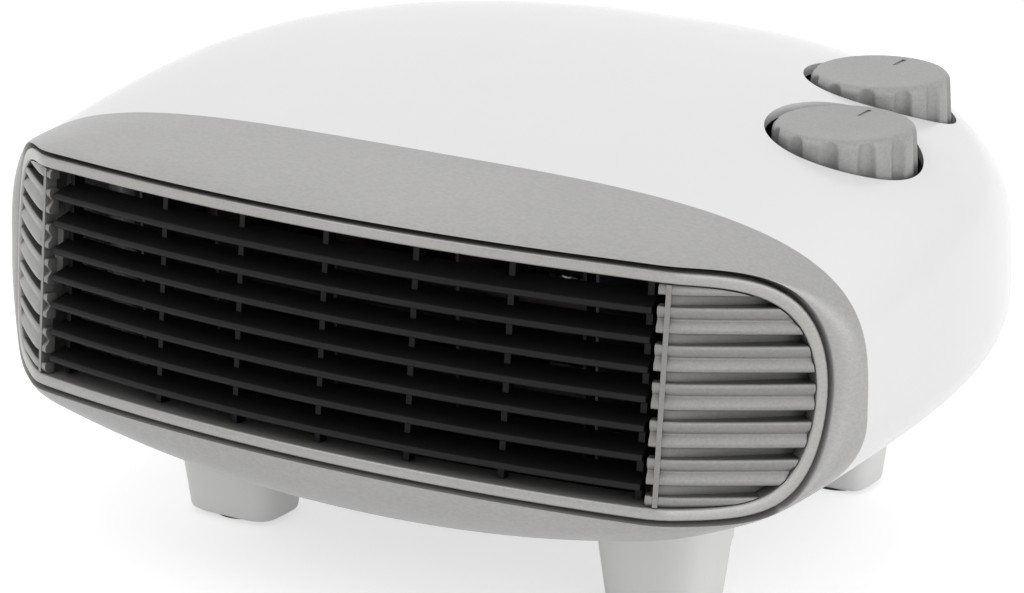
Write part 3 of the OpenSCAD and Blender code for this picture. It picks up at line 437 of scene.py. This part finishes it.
# Finish of each CAD node that stays: name, colour, roughness, metal, grain and bump
PLAIN = {
    "foot_pads": ("pad_rubber", (52, 52, 54), 0.8, 0, 700, 0.5),
    "housing_screws": ("zinc_screw", (196, 196, 198), 0.34, 1, 1500, 0.2),
    "motor_screws": ("zinc_long_screw", (190, 190, 194), 0.36, 1, 1500, 0.2),
    "cord_gland": ("gland_rubber", (42, 42, 44), 0.6, 0, 800, 0.4),
    "heat_duct": ("duct_sheet", (74, 74, 76), 0.5, 0.6, 300, 0.3),
    "element_boards": ("mica_board", (48, 42, 33), 0.7, 0, 500, 0.5),
    "heating_coil_front": ("resistance_wire", (60, 56, 54), 0.6, 0.6, 2600, 0.8),
    "heating_coil_rear": ("resistance_wire_rear", (58, 54, 52), 0.6, 0.6, 2600, 0.8),
    "thermal_cutout": ("phenolic_cutout", (112, 62, 40), 0.5, 0, 900, 0.3),
    "thermal_fuse": ("fuse_case", (200, 198, 192), 0.35, 1, 1500, 0.2),
    "fan_shroud": ("shroud_plastic", (58, 58, 61), 0.5, 0, 900, 0.3),
    "motor_core": ("laminations", (92, 92, 96), 0.5, 1, 400, 0.5),
    "rotor_core": ("rotor_laminations", (98, 98, 102), 0.5, 1, 400, 0.5),
    "coil_bobbin": ("bobbin_nylon", (224, 216, 190), 0.5, 0, 700, 0.3),
    "motor_coil": ("copper_winding", (168, 92, 52), 0.3, 1, 2200, 0.7),
    "motor_bridge_front": ("bridge_zinc", (170, 174, 178), 0.4, 1, 900, 0.3),
    "motor_bridge_rear": ("bridge_zinc_rear", (168, 172, 176), 0.4, 1, 900, 0.3),
    "bearing_front": ("sintered_bronze", (176, 138, 76), 0.5, 1, 2400, 0.5),
    "bearing_rear": ("sintered_bronze_rear", (174, 136, 76), 0.5, 1, 2400, 0.5),
    "rotor_shaft": ("ground_steel", (200, 200, 204), 0.2, 1, 2000, 0.1),
    "impeller_clip": ("spring_steel", (150, 150, 156), 0.3, 1, 1200, 0.2),
    "fan_impeller": ("impeller_plastic", (206, 206, 198), 0.45, 0, 800, 0.25),
    "thermostat_body": ("phenolic_body", (98, 60, 42), 0.5, 0, 800, 0.4),
    "thermostat_spindle": ("spindle_steel", (196, 196, 200), 0.25, 1, 1500, 0.2),
    "selector_spindle": ("spindle_steel_rear", (194, 194, 198), 0.25, 1, 1500, 0.2),
    "selector_switch": ("switch_nylon", (226, 218, 196), 0.45, 0, 800, 0.3),
    "terminal_block": ("terminal_nylon", (228, 222, 204), 0.4, 0, 800, 0.3),
    "internal_leads": ("lead_sleeve", (62, 104, 168), 0.4, 0, 900, 0.2),
}
# Each also gets painted shade in its corners by ambient occlusion
for node, finish in PLAIN.items():
    coated(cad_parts[node], Paint(*finish, drift=0.06, painted_shade=0.3).mat)
coated(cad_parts["outlet_grille"], BLACK)

# Camera, fitted to the outline in the photograph, with the picture's size in pixels
AZIMUTH, ELEVATION, ROLL = math.radians(32.883), math.radians(18.484), math.radians(-0.272)
DISTANCE, FOCAL_PX, SENSOR, CLIP_END = 1.0148, 3914.2, 36.0, 50
PICTURE_W, PICTURE_H = 1024, 593
TARGET, TARGET_PX = metres(0, 60, 0), (434.1, 318.7)


def make_camera():
    back = Vector((math.sin(AZIMUTH) * math.cos(ELEVATION), -math.cos(AZIMUTH) * math.cos(ELEVATION),
                   math.sin(ELEVATION)))
    right = Vector((math.cos(AZIMUTH), math.sin(AZIMUTH), 0))
    up = back.cross(right)
    lens = bpy.data.cameras.new("camera")
    lens.sensor_width, lens.sensor_fit = SENSOR, "HORIZONTAL"
    lens.lens = FOCAL_PX / PICTURE_W * SENSOR
    lens.shift_x = (PICTURE_W / 2 - TARGET_PX[0]) / PICTURE_W
    lens.shift_y = (TARGET_PX[1] - PICTURE_H / 2) / PICTURE_W
    lens.clip_end = CLIP_END
    camera = linked("camera", lens)
    rolled = Matrix((right * math.cos(ROLL) + up * math.sin(ROLL),
                     up * math.cos(ROLL) - right * math.sin(ROLL), back)).transposed()
    camera.matrix_world = Matrix.Translation(TARGET + back * DISTANCE) @ rolled.to_4x4()
    bpy.context.scene.camera = camera


make_camera()

# Housing: two shells with screw posts, the upper one with a well for each knob
SHELL_ROWS, CORE_ROWS, POST_CORE_ROWS = 64, 24, 48
WELL_R, CUP_WALL, CUP_TOP = KNOB_D / 2 + KNOB_GAP, WALL * 0.8, CROWN_H + 10
CUPS_FROM, CUPS_TO = KNOB_S - 50, KNOB_S + 52
CUP_SIDES, HOLE_SIDES = 160, 48
SPINDLE_ROOM, POST_WALL, HEAD_WALL = 2, 2.2, 1.6


def half_ring(s, top):
    """Cross section of one shell: its outer stations, and its inner ones back again."""
    first = 0 if top else HALF
    path = [body_pt(first + j, s, SKIN) for j in range(HALF + 1)]
    return path + [body_pt(first + j, s, WALL) for j in range(HALF, -1, -1)]


def half_shell(name, top):
    return loft(name, [half_ring(s, top) for s in rows(BEZEL_D, REAR_S, SHELL_ROWS)], caps="strip")


def shell_core(name, s0, s1, n):
    """The inside of the shell, out to the middle of its wall."""
    return loft(name, [[body_pt(j, s, WALL / 2) for j in range(RING)] for s in rows(s0, s1, n)])


def knob_at(k):
    """Place of the front knob, 0, or the rear one, 1."""
    turn = math.radians(KNOB_ROW_TURN)
    return (KNOB_X - (k - 0.5) * KNOB_PITCH * math.sin(turn),
            KNOB_S + (k - 0.5) * KNOB_PITCH * math.cos(turn))


def well_floor(k):
    return KNOB_TOPS[k] - KNOB_H - KNOB_LIFT


def cups(name, r, drop, sides=CUP_SIDES):
    """A cylinder at each knob, from drop below the well's floor to above the crown."""
    out = []
    for k in (0, 1):
        low = well_floor(k) - drop
        out.append(rod(f"{name}_{k}", (*knob_at(k), low), r, CUP_TOP - low, sides))
    return joined(name, out)


def columns(name, r, low, high):
    """A cylinder at each screw post."""
    return joined(name, [rod("column", (side * x, s, low), r, high - low, HOLE_SIDES)
                         for x, s in POSTS for side in (-1, 1)])


def posts(r, low, high):
    """Screw posts, cut off within the wall."""
    out = columns("posts", r, low, high)
    core = shell_core("post_core", POSTS[0][1] - r - SPARE, POSTS[1][1] + r + SPARE, POST_CORE_ROWS)
    boolean(out, core, "INTERSECT")
    return out


def upper_shell():
    shell = half_shell("upper_shell", True)
    walls = cups("cups", WELL_R + CUP_WALL, WALL)
    boolean(walls, shell_core("core", CUPS_FROM, CUPS_TO, CORE_ROWS), "INTERSECT")
    boolean(shell, walls, "UNION")
    boolean(shell, posts(SCREW_D / 2 + POST_WALL, SKIN, CROWN_H), "UNION")
    boolean(shell, cups("wells", WELL_R, 0), "DIFFERENCE")
    boolean(shell, cups("holes", SPINDLE_D / 2 + SPINDLE_ROOM, WALL + SPARE, HOLE_SIDES), "DIFFERENCE")
    boolean(shell, columns("holes", SCREW_D / 2, -OVER, SCREW_L + HEAD_Z + SPARE), "DIFFERENCE")
    return mended(shell)


def lower_shell():
    shell = half_shell("lower_shell", False)
    boolean(shell, posts(SCREW_HEAD_D / 2 + HEAD_WALL, -BELLY_H, -SKIN), "UNION")
    boolean(shell, columns("holes", SCREW_HEAD_D / 2 + FIT, -BELLY_H - OVER, HEAD_Z), "DIFFERENCE")
    boolean(shell, columns("holes", SCREW_D / 2 + FIT, HEAD_Z - OVER, OVER), "DIFFERENCE")
    return mended(shell)


place(upper_shell(), "housing", "white", WHITE, "upper_housing")
place(lower_shell(), "housing", "white", WHITE, "lower_housing")

# Rear inlet grille: a dome with slots in four columns and the boss of the cord gland
DOME_ROWS, DOME_POWER = 28, 1.6
INLET_REACH, REACH_S, REACH_LESS = 0.74, REAR_S + 6, 6
SLOT_FROM, SLOT_RIB, SLOT_CUT = 2, 1, 5
BOSS_END, BOSS_SIDES = REAR_END - 6, 64
BOSS_TAPER, TAPER_TO, BOSS_EDGE, BORE_L = 2.4, 0.6, 0.5, 40


def dome(end):
    """Places of the rings from the joint to the end, closer together towards it."""
    return [REAR_S + (end - REAR_S) * (1 - (1 - u) ** DOME_POWER) for u in rows(0, 1, DOME_ROWS)]


def inlet_slots():
    out = []
    for k in range(INLET_SLOTS):
        z = FAN_Z + (k - (INLET_SLOTS - 1) / 2) * INLET_PITCH
        reach = INLET_REACH * plan_w(REACH_S) * arch(z / BELLY_H, BELLY_SQUARE)
        length = (reach - REACH_LESS) / 2
        for side in (-1, 1):
            for column in (0, 1):
                x = side * (SLOT_FROM + (length + SLOT_RIB) * (column + 0.5))
                out.append(block("slot", (x - length / 2, REAR_S + SLOT_CUT, z - INLET_SLOT_H / 2),
                                 (x + length / 2, BODY_D + SLOT_CUT, z + INLET_SLOT_H / 2)))
    return joined("slots", out)


def cord_boss():
    path = [(0, 0), (BOSS_R - BOSS_TAPER, 0), (BOSS_R, GLAND_INSIDE * TAPER_TO),
            (BOSS_R, GLAND_INSIDE - BOSS_EDGE), (BOSS_R - BOSS_EDGE, GLAND_INSIDE), (0, GLAND_INSIDE)]
    return lathe("boss", (GLAND_X, BOSS_END - GLAND_INSIDE, GLAND_Z), path, BOSS_SIDES, to_rear=True)


def inlet_grille():
    inside = [[body_pt(j, s, WALL) for j in range(RING)] for s in reversed(dome(REAR_END - WALL))]
    outside = [[body_pt(j, s, SKIN) for j in range(RING)] for s in dome(REAR_END)]
    rear = loft("inlet_grille", inside + outside)
    boolean(rear, inlet_slots(), "DIFFERENCE")
    boolean(rear, cord_boss(), "UNION")
    boolean(rear, rod("bore", (GLAND_X, REAR_S, GLAND_Z), GLAND_R, BORE_L, BOSS_SIDES, to_rear=True),
            "DIFFERENCE")
    return mended(rear)


place(inlet_grille(), "housing", "white_rear", WHITE_REAR, "rear_grille")

# Side plates that close the way past the fan, level with the shroud's own plate. The CAD has none.
PLATE_S, PLATE_T, PLATE_HALF, PLATE_CUT = REAR_S - 32.0, 2.0, 48.5, 9


def side_plates():
    plates = loft("shroud_side_plates", [[body_pt(j, s, WALL + FIT) for j in range(RING)]
                                         for s in (PLATE_S, PLATE_S + PLATE_T)])
    middle = block("middle", (-PLATE_HALF - FIT, PLATE_S - OVER, -BODY_W),
                   (PLATE_HALF + FIT, PLATE_S + PLATE_CUT, BODY_W))
    boolean(plates, middle, "DIFFERENCE")
    boolean(plates, cups("cup_room", WELL_R + CUP_WALL + FIT, WALL + FIT), "DIFFERENCE")
    return mended(plates)


place(side_plates(), "housing", "shroud_grey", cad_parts["fan_shroud"].data.materials[0])

# Outlet form. The CAD source turns its ends on one arc; here they turn just past the post and then
# run nearly flat, as in the photograph, between the same post and the same end.
LEAN = math.radians(FACE_LEAN)
BOW_LEN = BOW_R * math.asin(BOW_HALF_W / BOW_R)
OUTLET_HALF = 135.4
TURN_FROM, TURN_TO, TURN = BOW_LEN - 3.5, BOW_LEN + 8.5, math.radians(26.5)
OUTLET_Z = LIP_H - BELLY_H
CURVE_STEP, CURVE_SPARE = 0.1, 6


def turn_at(l):
    """Direction of the plan curve at a length along it from the middle."""
    u = min(1.0, max(0.0, (l - TURN_FROM) / (TURN_TO - TURN_FROM)))
    return l / BOW_R + TURN * u * u * (3 - 2 * u)


def walked(length):
    """Places along the plan curve at even steps."""
    x, s, out = 0.0, 0.0, [(0.0, 0.0)]
    for i in range(math.ceil(length / CURVE_STEP)):
        t = turn_at((i + 0.5) * CURVE_STEP)
        x, s = x + CURVE_STEP * math.cos(t), s + CURVE_STEP * math.sin(t)
        out.append((x, s))
    return out


PLAN = walked(OUTLET_HALF + CURVE_SPARE)


def curve(l, d):
    """Place on the outlet's plan curve, d behind its face."""
    at = abs(l) / CURVE_STEP
    i = min(int(at), len(PLAN) - 2)
    u, t = at - i, turn_at(abs(l))
    x = PLAN[i][0] + (PLAN[i + 1][0] - PLAN[i][0]) * u - d * math.sin(t)
    s = PLAN[i][1] + (PLAN[i + 1][1] - PLAN[i][1]) * u + d * math.cos(t)
    return math.copysign(x, l), s


def leaned(x, s, w):
    """Place of a point of the outlet, w up its leaning face."""
    return (x, s * math.cos(LEAN) + w * math.sin(LEAN), OUTLET_Z - s * math.sin(LEAN) + w * math.cos(LEAN))


def outlet_w(f, grow, low):
    """Half height of the outlet, whose lower corners are the squarer ones."""
    power = LOW_POWER if low else END_POWER
    return (OUTLET_H / 2 + grow) * max(0.0, 1 - abs(f) ** power) ** (1 / END_ROOT)


def outlet_pt(j, grow, d):
    """Place at station j round the outlet's edge, grown outwards and d behind the face."""
    j %= 2 * FINE
    f = across(j, FINE)
    x, s = curve((OUTLET_HALF + grow) * f, d)
    return Vector(leaned(x, s, OUTLET_H / 2 + (-1 if j > FINE else 1) * outlet_w(f, grow, j > FINE)))


def outlet_core(name, grow, d0, d1):
    """Solid inside the outlet's edge, from d0 to d1 behind the face."""
    m = 2 * FINE
    pts = [outlet_pt(j, grow, d) for d in (d0, d1) for j in range(m)]
    faces = ring_faces(2, m, False)
    for i in range(FINE):
        quad = list(dict.fromkeys([i, i + 1, m - i - 1, (m - i) % m]))
        faces += [tuple(quad), tuple(q + m for q in reversed(quad))]
    return mesh_object(name, pts, faces)


# Bezel: a skin from the outlet's edge to the housing's joint, with a flange and a spigot. A pull
# says how far its curve is drawn to the joint. The inner side turns under the rows FORE and AFT.
BEZEL_STEPS, BEZEL_SHARP = 28, 50
LIP_PULL, BROW_PULL, DEPTH_PULL, BROW_FADE, END_FADE = 0.8, 0.46, 0.1, 4, 8
FLANGE_LEAST = 0.4
FORE, AFT = BEZEL_STEPS * 3 // 7, BEZEL_STEPS * 5 // 7


def joint_pt(j, inset):
    """Place at station j of the joint with the housing."""
    j %= 2 * FINE
    f = across(j, FINE)
    z = (inset - BELLY_H) * arch(f, BELLY_SQUARE) if j > FINE else (FRONT_H - inset) * arch(f, TOP_SQUARE)
    return Vector(((BODY_W / 2 - inset) * f, BEZEL_D, z))


def skin_row(j):
    """Bezel surface from the outlet to the housing joint at one station."""
    j %= 2 * FINE
    f = across(j, FINE)
    pull = LIP_PULL if j > FINE else BROW_PULL + (LIP_PULL - BROW_PULL) * f ** BROW_FADE
    a, b = outlet_pt(j, SHADOW_GAP, 0), joint_pt(j, SKIN)
    c = Vector((a.x + (b.x - a.x) * pull, a.y + (b.y - a.y) * DEPTH_PULL, a.z + (b.z - a.z) * pull))
    return [(1 - u) ** 2 * a + 2 * u * (1 - u) * c + u * u * b for u in rows(0, 1, BEZEL_STEPS)]


def bezel_section(j):
    """Section at one station. The weight w is 0 above and below the outlet and 1 at its ends."""
    here, after, before = (skin_row(k) for k in (j, j + 1, j - 1))
    root, step = joint_pt(j, WALL + FIT + SPIGOT_T), joint_pt(j, WALL + FIT)
    spigot = Vector((0, SPIGOT_L, 0))

    def inward(i):
        n = (here[i + 1] - here[i - 1]).cross(after[i] - before[i])
        return here[i] - BEZEL_T * n.normalized()

    w = abs(across(j % (2 * FINE), FINE)) ** END_FADE
    flange = FIT + FLANGE_T * (FLANGE_LEAST + (1 - FLANGE_LEAST) * w)
    return ([outlet_pt(j, FIT, FLANGE_D), outlet_pt(j, flange, FLANGE_D), inward(FORE),
             (1 - w) * inward(AFT) + w * (inward(FORE) + root) / 2, root, root + spigot, step + spigot, step]
            + here[::-1])


place(loft("bezel_skin", [bezel_section(j) for j in range(2 * FINE)], closed=True, sharp=BEZEL_SHARP),
      "housing", "silver", SILVER, "front_bezel")

# Rim of the outlet, rounded at the front
RIM_SHARP, ROUND_STEPS = 50, 5
NOSE = FRAME_W / 4


def rim_section():
    turns = quarter(ROUND_STEPS, 1)
    inner = [(-FRAME_W, NOSE), (-FRAME_W, FRAME_D), (0, FRAME_D), (0, NOSE)]
    inner += [(NOSE * (math.cos(a) - 1), NOSE * (1 - math.sin(a))) for a in turns]
    return inner + [(NOSE * (1 - math.sin(a)) - FRAME_W, NOSE * (1 - math.cos(a))) for a in turns[:-1]]


def outlet_rim():
    section = rim_section()
    return loft("outlet_rim", [[outlet_pt(j, g, d) for g, d in section] for j in range(2 * FINE)],
                closed=True, sharp=RIM_SHARP)


place(outlet_rim(), "housing", "silver_frame", RIM, "outlet_frame")

# Louvred ends: a comb whose slots get deeper and whose grooves get shallower towards the outer end
GRILLE_LOW, GRILLE_HIGH = FRAME_W + FIT, OUTLET_H - FRAME_W - FIT
LOUVRE_PITCH = (GRILLE_HIGH - GRILLE_LOW) / (LOUVRE_COUNT + 0.9)
LOUVRE_FACE = LOUVRE_PITCH - LOUVRE_SLOT
LOUVRE_BACK, WEB_T, POST_L, TIP_L = 0.35, 1.3, 1.3, 1.9
COMB_FROM, COMB_TO = BOW_LEN + 1, OUTLET_HALF + 1
COMB_ROWS, TIP_ROWS, POST_ROWS = 72, 6, 4
SLOT_DEPTHS, GROOVE_DEPTHS = (2.0, LOUVRE_D), (1.2, 1.0)
BAR_EDGE_R, CORE_GAP, LOUVRE_SHARP = 0.7, 0.02, 50
POST_PROUD, POST_SUNK, POST_LAP = 0.1, 0.2, 0.1
BARS = LOUVRE_COUNT + 2
# Groove of a bar, as shares of its face and of the groove's depth
GROOVE = ((0.25, 0), (0.46, 0.9), (0.5, 1), (0.54, 0.9), (0.75, 0))


def swept(l, profile):
    return [leaned(*curve(l, d), w) for d, w in profile]


def louvre_low(k):
    return OUTLET_H / 2 + (k - (LOUVRE_COUNT + 1) / 2) * LOUVRE_PITCH - LOUVRE_FACE / 2


def bar_profile(low, slot, groove):
    """Section of one bar with rounded edges and a groove along its face."""
    f, b, r = LOUVRE_FACE, LOUVRE_BACK, BAR_EDGE_R
    turns = quarter(ROUND_STEPS)
    out = [(slot, low)] + [(b + r * (1 - math.sin(a)), low + r * (1 - math.cos(a))) for a in turns]
    out += [(b + groove * deep, low + f * at) for at, deep in GROOVE]
    out += [(b + r * (1 - math.cos(a)), low + f - r * (1 - math.sin(a))) for a in turns]
    return out + [(slot, low + f)]


def comb_profile(u):
    slot, groove = mix(*SLOT_DEPTHS, u), mix(*GROOVE_DEPTHS, u)
    bars = [q for k in range(BARS) for q in bar_profile(louvre_low(k), slot, groove)]
    return ([(slot + WEB_T, -OVER), (slot, -OVER)] + bars
            + [(slot, OUTLET_H + OVER), (slot + WEB_T, OUTLET_H + OVER)])


def end_post():
    """Post of the right end, with the tips of the bars that reach past it."""
    front, rear = LOUVRE_BACK - POST_PROUD, SLOT_DEPTHS[0] + WEB_T + POST_SUNK
    low, high = -SPARE, OUTLET_H + SPARE
    spots = rows(COMB_FROM - TIP_L, COMB_FROM + POST_L / 2 - POST_LAP, TIP_ROWS)
    tips = []
    for k in range(BARS):
        shape = bar_profile(louvre_low(k), SLOT_DEPTHS[0] + WEB_T, GROOVE_DEPTHS[0])
        tips.append(loft("tip", [swept(l, shape) for l in spots]))
    post = loft("post", [swept(l, [(front, low), (rear, low), (rear, high), (front, high)])
                         for l in rows(COMB_FROM, COMB_FROM + POST_L, POST_ROWS)])
    boolean(post, joined("tips", tips), "UNION")
    return post


def end_comb():
    """Comb and post of the right end, trimmed to the outlet's outline."""
    spots = rows(COMB_FROM + POST_L / 2 + POST_LAP, COMB_TO, COMB_ROWS)
    comb = loft("comb", [swept(l, comb_profile((l - spots[0]) / (spots[-1] - spots[0]))) for l in spots])
    boolean(comb, end_post(), "UNION")
    boolean(comb, outlet_core("core", -GRILLE_LOW - CORE_GAP, -OVER, FRAME_D), "INTERSECT")
    return comb


def louvred_ends():
    right_end = end_comb()
    left_end = bpy.data.objects.new("left_end", right_end.data.copy())
    left_end.data.transform(Matrix.Scale(-1, 4, Vector((1, 0, 0))))
    return mended(joined("louvred_ends", [right_end, left_end]), LOUVRE_SHARP)


place(louvred_ends(), "housing", "silver_louvre", PAINTED_SHADE_LOUVRE, "end_louvres")

# Knobs with flutes, rounded at every edge, over a hollow with a socket for the spindle
SOCKET_L, SOCKET_FIT, SOCKET_WALL, SOCKET_LIFT = 9.4, 0.02, 2, 0.2
KNOB_TOP_T, KNOB_WALL, SKIRT_H, SKIRT_EDGE, SKIRT_BEVEL = 3, 2.6, 1.5, 0.4, 0.12
FLUTE_OUT, FLUTE_IN, FLUTE_EDGE = 0.18, 0.32, 0.35
BROW_DRAW, BROW_H, BROW_STEPS = 1.9, 2.2, 8
# How far in from the rim and how high the side has its points, and how far in and how deep the top
SIDE = ((0.02, SKIRT_H), (0.25, SKIRT_H + 4), (0.8, KNOB_H - BROW_H))
DISH = ((4, 0.02), (6.2, 0.12), (10, 0.2))
POINTER_W, POINTER_FROM, POINTER_TO, POINTER_DEEP = 1.2, 11, 4.8, 0.45
FLUTE_STATIONS, KNOB_SHARP = 36, 45


def fluted(radius):
    """Radius at each angle round the knob, with its flutes and their softened edges."""
    away, flute_r = KNOB_D / 2 + FLUTE_D * FLUTE_OUT, FLUTE_D / 2

    def at(a):
        pitch = 2 * math.pi / FLUTE_COUNT
        off = a % pitch - pitch / 2
        inside = flute_r ** 2 - (away * math.sin(off)) ** 2
        if inside <= 0:
            return radius
        cut = away * math.cos(off) - math.sqrt(inside)
        h = max(0.0, FLUTE_EDGE - abs(radius - cut)) / FLUTE_EDGE
        return min(radius, cut) - h * h * FLUTE_EDGE / 4
    return at


def knob_path():
    """Radii and heights from the socket's end, round the hollow and the skirt, to the dished top."""
    r, socket_r = KNOB_D / 2, SPINDLE_D / 2 + SOCKET_FIT
    hollow, boss_r = r - KNOB_WALL - FLUTE_D * FLUTE_IN, SPINDLE_D / 2 + SOCKET_WALL
    path = [(0, SOCKET_L), (socket_r, SOCKET_L), (socket_r, SOCKET_LIFT), (boss_r, SOCKET_LIFT),
            (boss_r, KNOB_H - KNOB_TOP_T), (hollow, KNOB_H - KNOB_TOP_T), (hollow, 0), (r - SKIRT_EDGE, 0),
            (r, SKIRT_EDGE), (r, SKIRT_H - SKIRT_EDGE), (r - SKIRT_BEVEL, SKIRT_H - SKIRT_BEVEL)]
    outer = [(r - inwards, h) for inwards, h in SIDE]
    brow_r, brow_z = outer[-1]
    outer += [(brow_r - BROW_DRAW * (1 - math.cos(a)), brow_z + BROW_H * math.sin(a))
              for a in quarter(BROW_STEPS, 1)]
    path += [(fluted(q), h) for q, h in outer]
    path += [(r - inwards, KNOB_H - deep) for inwards, deep in DISH]
    return path + [(0, KNOB_H - DISH[-1][1])]


def knob(name, k):
    x, s = knob_at(k)
    low = well_floor(k) + KNOB_LIFT
    obj = lathe(name, (x, s, low), knob_path(), FLUTE_COUNT * FLUTE_STATIONS)
    r, top = KNOB_D / 2, low + KNOB_H
    pointer = block("pointer", (x - POINTER_W / 2, s + r - POINTER_FROM, top - POINTER_DEEP),
                    (x + POINTER_W / 2, s + r - POINTER_TO, top + OVER))
    boolean(obj, pointer, "DIFFERENCE")
    shade(obj, KNOB_SHARP)
    return obj


place(knob("front_knob", 0), "thermostat_control", "knob_grey", KNOB, "thermostat_knob")
place(knob("rear_knob", 1), "selector_control", "knob_grey", KNOB, "selector_knob")

# Feet that follow the belly. A ring is given by how much narrower it is than the top, with its
# height above the sole in SOLE and its depth under the belly in NECK.
FOOT_SIDES, FOOT_SQUARE, FOOT_GAP, FOOT_SHARP = 96, 0.5, 1, 40
SOLE = ((PAD_D - 4, 0), (7.6, 0), (6.4, 0.4), (6, 1.2))
TAPER, TAPER_SHARES, TAPER_UNDER, NECK = 4, (0.33, 0.66, 1), 5.2, (1, 1.4)
PAD_FIT, REAR_FOOT_LESS_W, REAR_FOOT_LESS_L, REAR_DRAW = 0.05, 6, 4, 0.65


def foot(x, s, w, l, draw):
    """One foot. Along the body it draws in by the share draw of what it does across."""
    def ring(narrow, z=None):
        """Rounded rectangle at a height, or up against the belly."""
        out = []
        for i in range(FOOT_SIDES):
            a = 2 * math.pi * i / FOOT_SIDES
            px = x + (w - narrow) / 2 * math.copysign(abs(math.cos(a)) ** FOOT_SQUARE, math.cos(a))
            ps = s + (l - narrow * draw) / 2 * math.copysign(abs(math.sin(a)) ** FOOT_SQUARE, math.sin(a))
            out.append((px, ps, belly_at(px, ps) - FIT if z is None else z))
        return out

    low = FOOT_GAP - MID_Z
    narrowest, sole_h = SOLE[-1]
    rings = [ring(narrow, low + up) for narrow, up in SOLE]
    rings += [ring(narrowest - TAPER * u, low + sole_h + (MID_Z - BELLY_H - TAPER_UNDER) * u)
              for u in TAPER_SHARES]
    rings += [ring(NECK[0], -BELLY_H - NECK[1]), ring(0)]
    pts = [p for r in rings for p in r] + [(x, s, belly_at(x, s) - FIT)]
    n, last = FOOT_SIDES, (len(rings) - 1) * FOOT_SIDES
    faces = ring_faces(len(rings), n, False) + [tuple(range(n))]
    faces += [(last + j, last + (j + 1) % n, len(pts) - 1) for j in range(n)]
    obj = mesh_object("foot", pts, faces)
    boolean(obj, rod("pit", (x, s, -MID_Z - OVER), PAD_D / 2 + PAD_FIT, PAD_T + OVER, FOOT_SIDES),
            "DIFFERENCE")
    return obj


def foot_pair(name, x, s, w, l, draw):
    pair = joined(name, [foot(side * x, s, w, l, draw) for side in (-1, 1)])
    shade(pair, FOOT_SHARP)
    return pair


place(foot_pair("front_foot_pair", FOOT_X, FOOT_S, FOOT_W, FOOT_L, 1),
      "housing", "foot_grey", FOOT, "front_feet")
place(foot_pair("rear_foot_pair", REAR_FOOT_X, REAR_FOOT_S, FOOT_W - REAR_FOOT_LESS_W,
                FOOT_L - REAR_FOOT_LESS_L, REAR_DRAW),
      "housing", "foot_grey", FOOT, "rear_feet")

# Floor, world and lamps, in metres
FLOOR_HALF, FLOOR_GREY, FLOOR_ROUGH, FLOOR_GLOW = 6, 0.7, 0.9, 0.55
WORLD_LEVEL, SHOWN_LEVEL = 0.77, 1.0
LAMP_AIM = Vector((0, 0, 0.06))


def shown(node_tree):
    """One for the rays that show the background: straight, mirrored or through glass."""
    path = node_tree.nodes.new("ShaderNodeLightPath")
    value = path.outputs["Is Camera Ray"]
    for other in ("Is Glossy Ray", "Is Transmission Ray"):
        either = node_tree.nodes.new("ShaderNodeMath")
        either.operation, either.use_clamp = "ADD", True
        node_tree.links.new(value, either.inputs[0])
        node_tree.links.new(path.outputs[other], either.inputs[1])
        value = either.outputs["Value"]
    return value


def floor_material():
    """Pale grey that glows just enough to show as white round the object's shadow."""
    ground = bpy.data.materials.new("studio_floor")
    ground.use_nodes = True
    tree = ground.node_tree
    shader = tree.nodes["Principled BSDF"]
    shader.inputs["Base Color"].default_value = (FLOOR_GREY, FLOOR_GREY, FLOOR_GREY, 1)
    shader.inputs["Roughness"].default_value = FLOOR_ROUGH
    shader.inputs["Emission Color"].default_value = (1, 1, 1, 1)
    glow = tree.nodes.new("ShaderNodeMath")
    glow.operation = "MULTIPLY"
    glow.inputs[1].default_value = FLOOR_GLOW
    tree.links.new(shown(tree), glow.inputs[0])
    tree.links.new(glow.outputs["Value"], shader.inputs["Emission Strength"])
    return ground


def make_floor():
    h = FLOOR_HALF
    data = bpy.data.meshes.new("floor")
    data.from_pydata([(-h, -h, 0), (h, -h, 0), (h, h, 0), (-h, h, 0)], [], [(0, 1, 2, 3)])
    data.materials.append(floor_material())
    linked("floor", data)


def make_world():
    world = bpy.data.worlds.new("studio")
    bpy.context.scene.world = world
    world.use_nodes = True
    tree = world.node_tree
    sky = tree.nodes["Background"]
    sky.inputs["Color"].default_value = (1, 1, 1, 1)
    level = tree.nodes.new("ShaderNodeMapRange")
    level.inputs["To Min"].default_value = WORLD_LEVEL
    level.inputs["To Max"].default_value = SHOWN_LEVEL
    tree.links.new(shown(tree), level.inputs["Value"])
    tree.links.new(level.outputs["Result"], sky.inputs["Strength"])


def lamp(name, at, size, power):
    data = bpy.data.lights.new(name, "AREA")
    data.shape, data.size, data.size_y, data.energy = "RECTANGLE", size[0], size[1], power
    obj = linked(name, data)
    obj.location = at
    obj.rotation_euler = (LAMP_AIM - Vector(at)).to_track_quat("-Z", "Y").to_euler()


make_floor()
make_world()
lamp("key", (-0.9, -1.3, 1.7), (1.4, 1.4), 5)
lamp("fill", (1.6, -0.7, 0.7), (2.0, 1.4), 8.5)
bpy.context.scene.view_settings.view_transform = "Standard"
